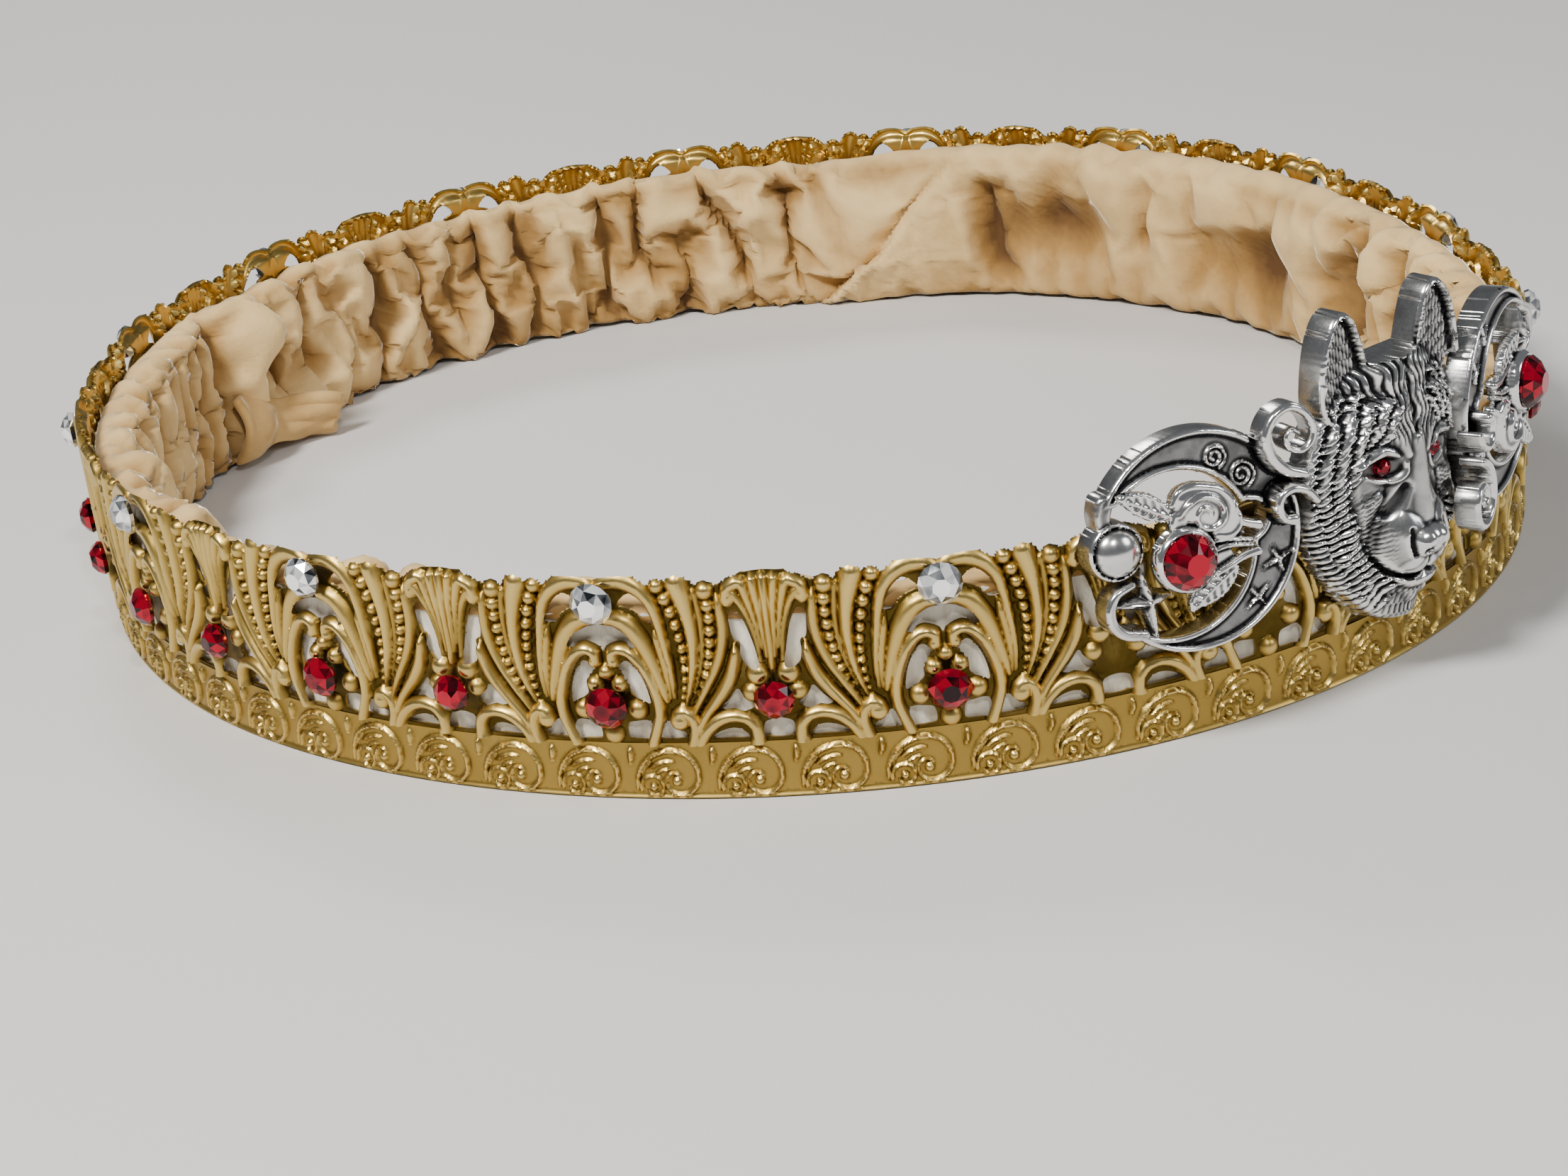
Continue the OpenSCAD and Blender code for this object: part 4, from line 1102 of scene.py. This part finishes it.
# Bars that follow a curve of x, y, half width
HOOK = [(-7.6, -2.9, 0.42), (-9.4, -3.55, 0.50), (-10.2, -4.9, 0.58), (-10.1, -6.5, 0.60),
        (-8.9, -7.8, 0.62), (-6.9, -8.35, 0.62)]
NECK = [(-9.6, 5.9, 0.95), (-9.95, 4.6, 0.90), (-9.9, 3.2, 0.80)]
CROSS = ([(-9.7, -4.8, 0.10), (-6.2, -4.9, 0.80), (-3.6, -4.75, 0.10)],
         [(-6.6, -1.5, 0.10), (-6.1, -4.9, 0.80), (-5.5, -8.8, 0.10)])
RING = [(11.42, 4.83, 0.50), (9.31, 5.75, 0.62), (7.89, 7.44, 0.62), (7.50, 9.54, 0.55),
        (8.50, 11.30, 0.50), (10.40, 11.95, 0.48), (12.10, 10.90, 0.46), (12.75, 9.20, 0.44),
        (12.30, 7.93, 0.42), (11.12, 7.35, 0.40), (9.97, 7.86, 0.36), (9.69, 8.98, 0.32),
        (10.36, 9.66, 0.28), (11.12, 9.18, 0.26)]
C_CURL = [(12.5, 1.85, 0.42), (11.6, 2.98, 0.44), (10.06, 3.61, 0.48), (8.69, 3.17, 0.48),
          (8.24, 1.96, 0.46), (8.71, 0.79, 0.46), (9.75, 0.45, 0.62)]
CURL_TOP, CURL_BACK = 5.0, 2.2
# Columns: bar, height of its top, how much of the height is rounded
BARS = ((HOOK, CRESCENT_T, 0.5), (NECK, CRESCENT_T - 0.1, 0.5), (RING, CURL_TOP, 0.55),
        (C_CURL, CURL_TOP, 0.55))


def crescent_form(x, y):
    """Distance inside the crescent's outline, and its height."""
    r, inner = np.hypot(x, y), np.hypot(x - INNER_AT[0], y - INNER_AT[1])
    gate = np.maximum(x + 7.0, np.maximum(y - 5.4, -7.4 - y))
    plate = np.minimum(np.minimum(CRESCENT_R - r, inner - INNER_R), gate)
    plate = np.minimum(plate, -depth_inside(x, y, NOTCH))
    lip = part(1 - ((plate - 0.36) / 0.36) ** 2) ** 0.5
    face = np.where(plate > RAGGED, CRESCENT_FACE + 0.5 * lip, ABSENT)
    for sx, sy, outer, middle, start, turns in FACE_SPIRALS:
        line = ridge(x, y, 1.0, spiral(sx, sy, outer, middle, start, turns, 0.20))
        face = np.maximum(face, np.where(plate > 0, CRESCENT_FACE + 0.45 * line / 0.6, ABSENT))
    for sx, sy, arm, wide, turn in STARS:
        for k in range(4):
            angle = math.radians(turn + 90 * k)
            reach = arm if k % 2 == 0 else arm * 0.75
            tip = (sx + reach * math.cos(angle), sy + reach * math.sin(angle), 0.05)
            ray = ridge(x, y, 1.0, [(sx, sy, wide), tip], 0.8)
            face = np.maximum(face, CRESCENT_FACE + 0.75 * ray / 0.75)
    inside, height = plate, face
    cup = CUP_R - np.hypot(x - CUP_AT[0], y - CUP_AT[1])
    dome = np.sqrt(part(1 - (np.maximum(CUP_R - cup, 0) / (CUP_R - CUP_LIP)) ** 2))
    lip = CRESCENT_T - 0.1 + 0.35 * part(cup / 0.2)
    cup_top = np.where(cup > CUP_LIP, CRESCENT_T - 0.25 + 1.9 * dome, lip)
    inside, height = np.maximum(inside, cup), np.where(cup > RAGGED, cup_top, height)
    for points, top, rise in BARS:
        bar = cover(x, y, points)
        inside = np.maximum(inside, bar)
        height = np.maximum(height, rounded(bar, top - rise, rise, 0.5))
    for points in CROSS:
        arm = cover(x, y, points)
        top = CRESCENT_T - 0.3 + 1.1 * part(arm / 0.8)
        inside = np.maximum(inside, arm)
        height = np.maximum(height, np.where(arm > RAGGED, top, ABSENT))
    return inside, np.maximum(height, 0.3)


def crescent_back(x, y):
    """Its back is flat, but the curls beside it lie over the head."""
    curl = np.maximum(cover(x, y, RING), cover(x, y, C_CURL))
    clear = CRESCENT_R + 0.02 - np.hypot(x, y) < 0
    return np.where((curl > -0.3) & clear, CURL_BACK, 0.0)


# Rose: bloom, two leaves, stems and the red stone's cup, cast with the web behind them,
# lying across the opening.
ROSE_BACK = 2.95
STONE_AT = (-2.3, -1.1)
ROSE_STONE = 5.8        # its diameter
WEB = [(-3.0, 3.2), (-1.5, 3.8), (2.6, 4.4), (3.9, 2.0), (4.6, 0.2), (3.2, -1.2), (3.4, -2.8),
       (-0.5, -3.6)]
BLOOM = [(-3.17, 4.9), (-2.86, 5.77), (-1.57, 6.38), (0.02, 6.26), (2.37, 5.56), (3.73, 4.19),
         (4.29, 2.81), (4.21, 1.21), (3.15, -0.05), (1.35, 0.22), (-0.11, 1.44), (-2.03, 2.42),
         (-2.91, 3.59)]
PETALS = (
    (0.85, [(-2.53, 3.41, 0.42), (-1.59, 4.49, 0.46), (-0.12, 4.97, 0.46), (1.44, 4.47, 0.46),
            (2.22, 3.32, 0.46), (1.97, 2.06, 0.46), (0.89, 1.48, 0.44), (-0.28, 1.88, 0.40),
            (-0.67, 2.93, 0.36), (-0.06, 3.72, 0.33), (0.82, 3.49, 0.30), (0.93, 2.7, 0.27),
            (0.41, 2.55, 0.24)]),
    (0.55, [(-2.99, 4.66, 0.34), (-2.25, 5.8, 0.38), (-0.78, 6.10, 0.40), (0.79, 5.77, 0.40)]),
    (0.60, [(0.79, 5.77, 0.36), (2.14, 5.23, 0.44), (3.21, 4.01, 0.48), (3.38, 2.86, 0.44)]),
    (0.60, [(4.1, 2.05, 0.36), (3.87, 0.97, 0.44), (2.78, 0.33, 0.48), (1.39, 0.59, 0.42)]))
LEAVES = (
    ([(-8.64, 6.6), (-7.8, 6.9), (-6.21, 6.7), (-4.68, 5.96), (-3.41, 4.7), (-2.5, 3.4), (-4.37, 3.2),
      (-5.92, 3.8), (-7.41, 4.94), (-8.4, 6.06)], [(-8.5, 6.4, 0.10), (-6.73, 5.55, 0.20),
      (-4.85, 4.38, 0.24), (-2.74, 3.3, 0.28)]),
    ([(-2.11, -6.75), (-2.07, -5.44), (-1.2, -4.14), (0.7, -3.39), (2.38, -2.88), (3.55, -3.25),
      (2.9, -4.6), (1.66, -5.74), (0.17, -6.3), (-1.27, -6.5)],
     [(-1.9, -6.5, 0.08), (0.11, -5.05, 0.20), (1.64, -4.12, 0.24), (3.3, -3.1, 0.28)]))
STEMS = ([(3.4, 1.9, 0.46), (4.7, 1.16, 0.48), (6.15, 0.58, 0.54)],
         [(5.85, -2.1, 0.50), (4.3, -2.25, 0.42), (2.6, -2.85, 0.36), (1.2, -3.3, 0.34)],
         [(0.7, -1.0, 0.28), (2.64, -0.77, 0.30), (5.2, -1.25, 0.26)],
         [(0.9, 0.05, 0.24), (2.92, -0.18, 0.26), (5.2, -0.68, 0.26)],
         [(-2.4, 3.4, 0.9), (-2.6, 2.6, 1.0), (-2.4, 1.6, 1.0)])


def rose_form(x, y):
    """Distance inside the rose's outline, and its height."""
    web = depth_inside(x, y, WEB)
    inside, height = web, rounded(web, ROSE_BACK + 0.3, 0.2, 0.3)
    for outline, rib in LEAVES:
        leaf = depth_inside(x, y, outline)
        run = np.array(rib)
        step = run[-1, :2] - run[0, :2]
        share = ((x - run[0, 0]) * step[0] + (y - run[0, 1]) * step[1]) / (step @ step)
        side = np.abs((x - run[0, 0]) * step[1] - (y - run[0, 1]) * step[0]) / np.hypot(*step)
        veins = 0.5 + 0.5 * np.cos(2 * np.pi * (share * 6.5 + side * 0.55))
        blade = rounded(leaf, ROSE_BACK + 0.65, 0.35, 0.4)
        blade = blade - 0.28 * veins * part(leaf / 0.35 - 0.6)
        spine = np.where(leaf > 0, ROSE_BACK + 0.85, ABSENT) + 0.35 * ridge(x, y, 1.0, rib)
        blade = np.maximum(blade, spine)
        inside, height = np.maximum(inside, leaf), np.maximum(height, blade)
    bloom = depth_inside(x, y, BLOOM)
    inside = np.maximum(inside, bloom)
    height = np.maximum(height, rounded(bloom, ROSE_BACK + 0.7, 0.7, 1.5))
    for rise, line in PETALS:
        bar = cover(x, y, line)
        lift = np.clip(0.6 + 0.25 * bloom, 0, 1.4)
        curled = ROSE_BACK + 0.9 + rise * lift * np.clip(ridge(x, y, 1.3, line), 0, 1.2)
        petal = np.where(bar > -0.05, curled, ABSENT)
        inside, height = np.maximum(inside, bar), np.maximum(height, petal)
    for line in STEMS:
        bar = cover(x, y, line)
        inside = np.maximum(inside, bar)
        height = np.maximum(height, rounded(bar, ROSE_BACK + 0.7, 0.5, 0.4))
    away = np.hypot(x - STONE_AT[0], y - STONE_AT[1])
    cup = ROSE_STONE / 2 + 0.50 - away
    wall = np.where(away > ROSE_STONE / 2 - 0.15, ROSE_BACK + 1.95, ROSE_BACK + 1.5)
    inside = np.maximum(inside, cup)
    height = np.where(cup > RAGGED, np.minimum(wall, ROSE_BACK + 1.4 + 1.6 * cup), height)
    return inside, np.maximum(height, ROSE_BACK + 0.3)


# Columns: place along the strip, height, lean outwards at the top, turn to the front, and
# half round for the right one, which is the same casting
CRESCENTS = {"left": (-27.0, 22.8, 6.0, 0.0, 0.0), "right": (15.1, 25.8, 0.0, 6.7, 171.7)}
crescent_mesh = cast("crescent", (-12.5, 13.7, -12.0, 12.8), 0.15, crescent_form, crescent_back)
rose_mesh = cast("rose", (-9.2, 7.2, -7.4, 7.2), 0.13, rose_form, lambda x, y: np.full(x.shape, ROSE_BACK))


def at_crescent(side):
    s, z, lean, turn, half_round = CRESCENTS[side]
    proud = max(0, 26.0 - z) * math.sin(math.radians(lean))
    proud = proud + MEAN_RADIUS * (1 - math.cos(math.radians(turn)))
    at = wall_frame(s, z, CASTING_OUT + proud)
    for degrees, axis in ((turn, "Y"), (-lean, "X"), (half_round, "Z")):
        at = at @ Matrix.Rotation(math.radians(degrees), 4, axis)
    return at


for side in CRESCENTS:
    for node, plain, finish, slot in (("crescent", crescent_mesh, antique, "antique_silver"),
                                      ("rose", rose_mesh, bright, "bright_silver")):
        mesh = plain.copy()
        mesh.transform(at_crescent(side))
        smooth(put("%s_casting_%s" % (node, side), mesh, finish, "%s_%s" % (node, side)), 55)
    at = at_crescent(side) @ Matrix.Translation((*STONE_AT, ROSE_BACK + 1.6))
    set_stone("rose_jewel_" + side, (ROSE_STONE, 2.3, 12), at, "red_crystal", "rose_stone_" + side,
              "rose" + side)

# Wolf's head: ears with a thick polished edge, fine hair combed up the brow, a smooth
# muzzle, and a ruff of rope-like locks round the cheeks. Drawn for one half and mirrored,
# x across from the middle, z up from the strip's foot.
HEAD_AT = -3.4
# Columns: height, half width, depth of the cheek, depth in the middle, muzzle's half width
HEAD_ROWS = np.array([
    (8.0, 3.0, 3.8, 4.4, 2.4), (9.6, 5.0, 4.0, 5.0, 2.6), (12.3, 7.4, 4.4, 6.2, 3.0),
    (15.0, 9.4, 4.6, 7.4, 3.9), (17.4, 10.8, 4.7, 7.8, 4.3), (19.4, 11.6, 4.9, 7.5, 4.1),
    (22.0, 12.3, 5.2, 7.05, 3.2), (24.6, 12.6, 5.3, 6.8, 2.7), (27.0, 12.3, 5.4, 6.6, 2.9),
    (29.6, 11.4, 5.5, 6.4, 4.2), (32.4, 10.0, 5.1, 6.0, 5.4), (35.0, 7.6, 4.2, 5.5, 5.4),
    (36.6, 5.0, 3.2, 5.0, 4.4)])
HEAD_EDGE = 1.5         # thickness at its edge
HEAD_FOOT, HEAD_TOP = 8.0, 36.6
EAR = [(2.6, 33.0), (3.4, 36.4), (4.3, 39.5), (5.3, 41.8), (6.8, 42.7), (8.3, 41.9), (9.5, 39.6),
       (10.2, 36.4), (10.2, 33.0), (8.0, 30.8)]
EAR_TOP = 3.2
# Forms of the half face. Columns: height of the form, then x, z, half width along it
FACE_RIDGES = (
    (0.25, [(0, 28.0, 1.0), (0, 24.0, 1.3), (0, 20.5, 1.6), (0, 19.0, 1.7)]),
    (0.40, [(4.6, 22.6, 0.8), (6.2, 21.4, 1.5), (7.6, 19.4, 1.4), (8.2, 16.4, 0.8)]),
    (0.25, [(1.4, 26.8, 0.5), (2.5, 29.0, 0.9), (4.6, 30.0, 1.1), (7.0, 29.6, 0.8)]),
    (0.50, [(1.7, 26.0, 0.25), (1.9, 25.0, 0.38), (2.9, 24.3, 0.42), (4.4, 24.5, 0.36),
            (6.0, 25.2, 0.2)]),
    (0.70, [(0, 12.6, 0.85), (1.2, 12.6, 0.8), (2.4, 13.0, 0.45)]))
# Rounded masses. Columns: x, z, radius across, radius up, height
FACE_MASSES = (
    (2.7, 17.6, 2.3, 3.3, 0.75), (1.5, 14.9, 1.7, 1.2, 0.35), (0, 17.45, 2.45, 1.85, 1.25),
    (2.7, 32.0, 2.6, 2.4, 0.2))
# Hollows, cut in. Columns: depth, then x, z, half width along them
FACE_GROOVES = (
    (0.85, [(0, 14.0, 0.30), (1.2, 13.4, 0.34), (2.6, 13.6, 0.36), (4.0, 14.6, 0.34),
            (5.2, 16.2, 0.22)]),
    (0.45, [(0, 15.7, 0.24), (0, 15.0, 0.26), (0, 14.2, 0.26)]),
    (0.85, [(0.80, 16.95, 0.30), (1.35, 16.75, 0.40)]),
    (0.45, [(2.1, 16.3, 0.35), (2.45, 17.6, 0.40), (2.3, 19.0, 0.35)]),
    (0.35, [(0, 36.0, 0.5), (0, 32.0, 0.8), (0, 29.0, 0.4)]),
    (0.35, [(1.9, 23.4, 0.6), (2.9, 21.9, 0.8), (4.0, 20.8, 0.7)]))
UPPER_LID = [(2.3, 26.6), (3.0, 27.7), (4.6, 28.3), (6.4, 28.0), (7.9, 26.6), (6.6, 26.5), (5.2, 26.7),
             (3.9, 26.9), (2.9, 26.7)]
EYE_AT, EYE_SIZE = (3.7, 25.75), 2.0
# Courses of the ruff. Columns: distance in from the edge, top, foot, spacing, length of a lock
RUFF = ((0.55, 33.0, 8.6, 0.74, 1.9), (2.05, 33.6, 9.2, 0.78, 2.3), (3.65, 33.4, 11.0, 0.80, 2.3),
        (5.20, 32.6, 24.5, 0.80, 2.2), (6.60, 32.4, 28.2, 0.84, 2.1), (8.00, 31.9, 28.6, 0.84, 1.9))
# Which way the locks are combed: height, angle below level
COMB = np.array([(8.0, 78), (10.0, 62), (12.0, 38), (15.0, 24), (19.0, 14), (23.0, 22), (27.0, 34),
                 (31.0, 30), (34.0, 8)])


def ruff_locks():
    """The locks as curves of x, z, half width, laid in courses and stirred by chance."""
    chance, locks = random.Random(3), []
    for course, (inset, top, foot, pitch, length) in enumerate(RUFF):
        z = top - pitch * 0.5 * (course % 2)
        while z > foot:
            edge = np.interp(z, HEAD_ROWS[:, 0], HEAD_ROWS[:, 1])
            angle = math.radians(-np.interp(z, COMB[:, 0], COMB[:, 1]) + chance.uniform(-7, 7))
            along = np.array((math.cos(angle), math.sin(angle)))
            across = np.array((-along[1], along[0])) * chance.uniform(0.10, 0.22)
            middle = np.array((edge - inset, z)) + along * chance.uniform(-0.2, 0.2)
            half, wide = along * length * chance.uniform(0.45, 0.55), chance.uniform(0.29, 0.37)
            locks.append([(*(middle - half), 0.10), (*(middle - half * 0.3 + across), wide),
                          (*(middle + half * 0.4), wide * 0.9), (*(middle + half), 0.06)])
            z -= pitch
    return locks


LOCKS = ruff_locks()


def wolf_form(x, z):
    """Distance inside the head's outline, and its height."""
    ax = np.abs(x)
    fine = flowing(HEAD_ROWS, 8)
    edge, cheek, middle, wide = (np.interp(z, fine[:, 0], fine[:, k]) for k in (1, 2, 3, 4))
    inside = np.minimum(np.minimum((edge - ax) * 0.9, z - HEAD_FOOT), HEAD_TOP - z)
    across = part(1 - (ax / edge) ** 2) ** 0.6
    muzzle = part(1 - (ax / (wide * 1.3)) ** 2) ** 1.05
    height = HEAD_EDGE + (cheek - HEAD_EDGE) * across + (middle - cheek) * muzzle
    for rise, points in FACE_RIDGES:
        height = height + rise * ridge(ax, z, 1.0, points, 1.1)
    for mx, mz, rx, rz, rise in FACE_MASSES:
        height = height + rise * part(1 - ((ax - mx) / rx) ** 2 - ((z - mz) / rz) ** 2) ** 0.8
    socket = part(1 - ((ax - 4.1) / 2.6) ** 2 - ((z - 25.7 - 0.1 * (ax - 4.1)) / 1.5) ** 2)
    height = height - 0.55 * socket
    for depth, points in FACE_GROOVES:
        height = height - depth * ridge(ax, z, 1.0, points, 1.0) / 0.8
    # Hair: combed up and out from between the eyes, and back along the cheeks
    angle, far = np.arctan2(ax, z - 18.5), np.hypot(ax, z - 18.5)
    strand = 1 - np.abs(np.sin(angle * 66 + 0.9 * np.sin(far * 1.9) + 1.1 * np.sin(far * 0.8 + angle * 9)))
    bare = np.interp(z, (31.5, 33.0), (4.4, 0.4))
    brow = part((z - 27.6) / 1.5) * part((edge - ax - bare) / 1.5)
    height = height - 0.34 * strand ** 1.2 * brow
    slant = z + 0.55 * ax + 0.25 * np.sin(ax * 1.7)
    strand = 1 - np.abs(np.sin(slant * 5.6 + 1.3 * np.floor(ax / 1.3)))
    side = part((24.0 - z) / 1.5) * part((ax - 3.4) / 1.0)
    side = side * part((edge - ax - 3.6) / 1.0)
    height = height - 0.20 * strand ** 1.5 * side
    strand = 1 - np.abs(np.sin(ax * 6.2 + 1.5 * np.floor(z / 1.4)))
    height = height - 0.25 * strand ** 1.5 * part((13.0 - z) / 1.2)
    lid = depth_inside(ax, z, UPPER_LID)
    height = height + 0.65 * np.sqrt(1 - (1 - part(lid / 0.7)) ** 2)
    reach = np.interp(z, (26.0, 29.0), (5.6, 8.6))
    ruff = part((z - 7.5) / 2) * part((reach - (edge - ax)) / 1.0)
    ruff = ruff * part((34.5 - z) / 1.5)
    ground, locks = height - 0.35 * ruff, np.zeros_like(height)
    for points in LOCKS:
        locks = np.maximum(locks, ridge(ax, z, 1.0, points, 0.7) / 0.75)
        inside = np.maximum(inside, cover(ax, z, points))
    height = np.where(locks > 0, np.maximum(ground, height - 0.25 + 0.75 * locks), ground)
    ear = depth_inside(ax, z, EAR)
    hair = 1 - np.abs(np.sin((ax - 6.4 - 0.12 * (z - 36)) * 7.0 + 1.2 * np.floor(z / 1.7)))
    lip = rounded(ear, EAR_TOP - 0.5, 0.5, 0.35)
    dish = EAR_TOP - 1.15 + 0.35 * part((3.4 - ear) / 3) - 0.38 * hair ** 1.3
    ear_top = np.where(ear > 0.45, dish + 1.2 * part((0.75 - ear) / 0.30), lip)
    behind = np.where(inside > 0, height - 1.0 * part(ear), ABSENT)
    height = np.where(ear > RAGGED, np.maximum(ear_top, behind), height)
    inside = np.maximum(inside, ear)
    # Cut back under the crescents and their curls, which lie over the ruff
    under = 2.2 - 0.32 * (x - 7.0)
    plate = np.hypot(x - 18.5, z - 25.8) < CRESCENT_R + 0.3
    curl = (np.hypot(x - 7.2, z - 18.2) < 3.5) | (np.hypot(x - 8.0, z - 25.2) < 2.6)
    under_curl = np.where(curl, np.minimum(height, under + 2.0), height)
    height = np.where(plate, np.minimum(height, under), under_curl)
    inside = np.minimum(inside, np.hypot(x + 23.6, z - 22.8) - CRESCENT_R - 0.2)
    return inside, np.maximum(height, 0.3)


wolf_mesh = cast("wolf", (-13.6, 13.6, 7.4, 42.9), 0.165, wolf_form, lambda x, z: np.zeros(x.shape))
on_head = wall_frame(HEAD_AT, 0, CASTING_OUT)
wolf_mesh.transform(on_head)
smooth(put("wolf_casting", wolf_mesh, antique, "wolf_head"), 60)

# Its eyes: tiny red stones, set in the sockets and turned a little outwards.
EYE_HIGH, EYE_TURN = 0.9, 22
level = float(wolf_form(np.array([EYE_AT[0]]), np.array([EYE_AT[1]]))[1][0]) + 0.05
for side, sign in (("left", -1), ("right", 1)):
    at = on_head @ Matrix.Translation((sign * EYE_AT[0], EYE_AT[1], level))
    at = at @ Matrix.Rotation(math.radians(sign * EYE_TURN), 4, "Y")
    set_stone("eye_jewel_" + side, (EYE_SIZE, EYE_HIGH, 8), at, "red_crystal", "eye_" + side,
              "eye" + side)
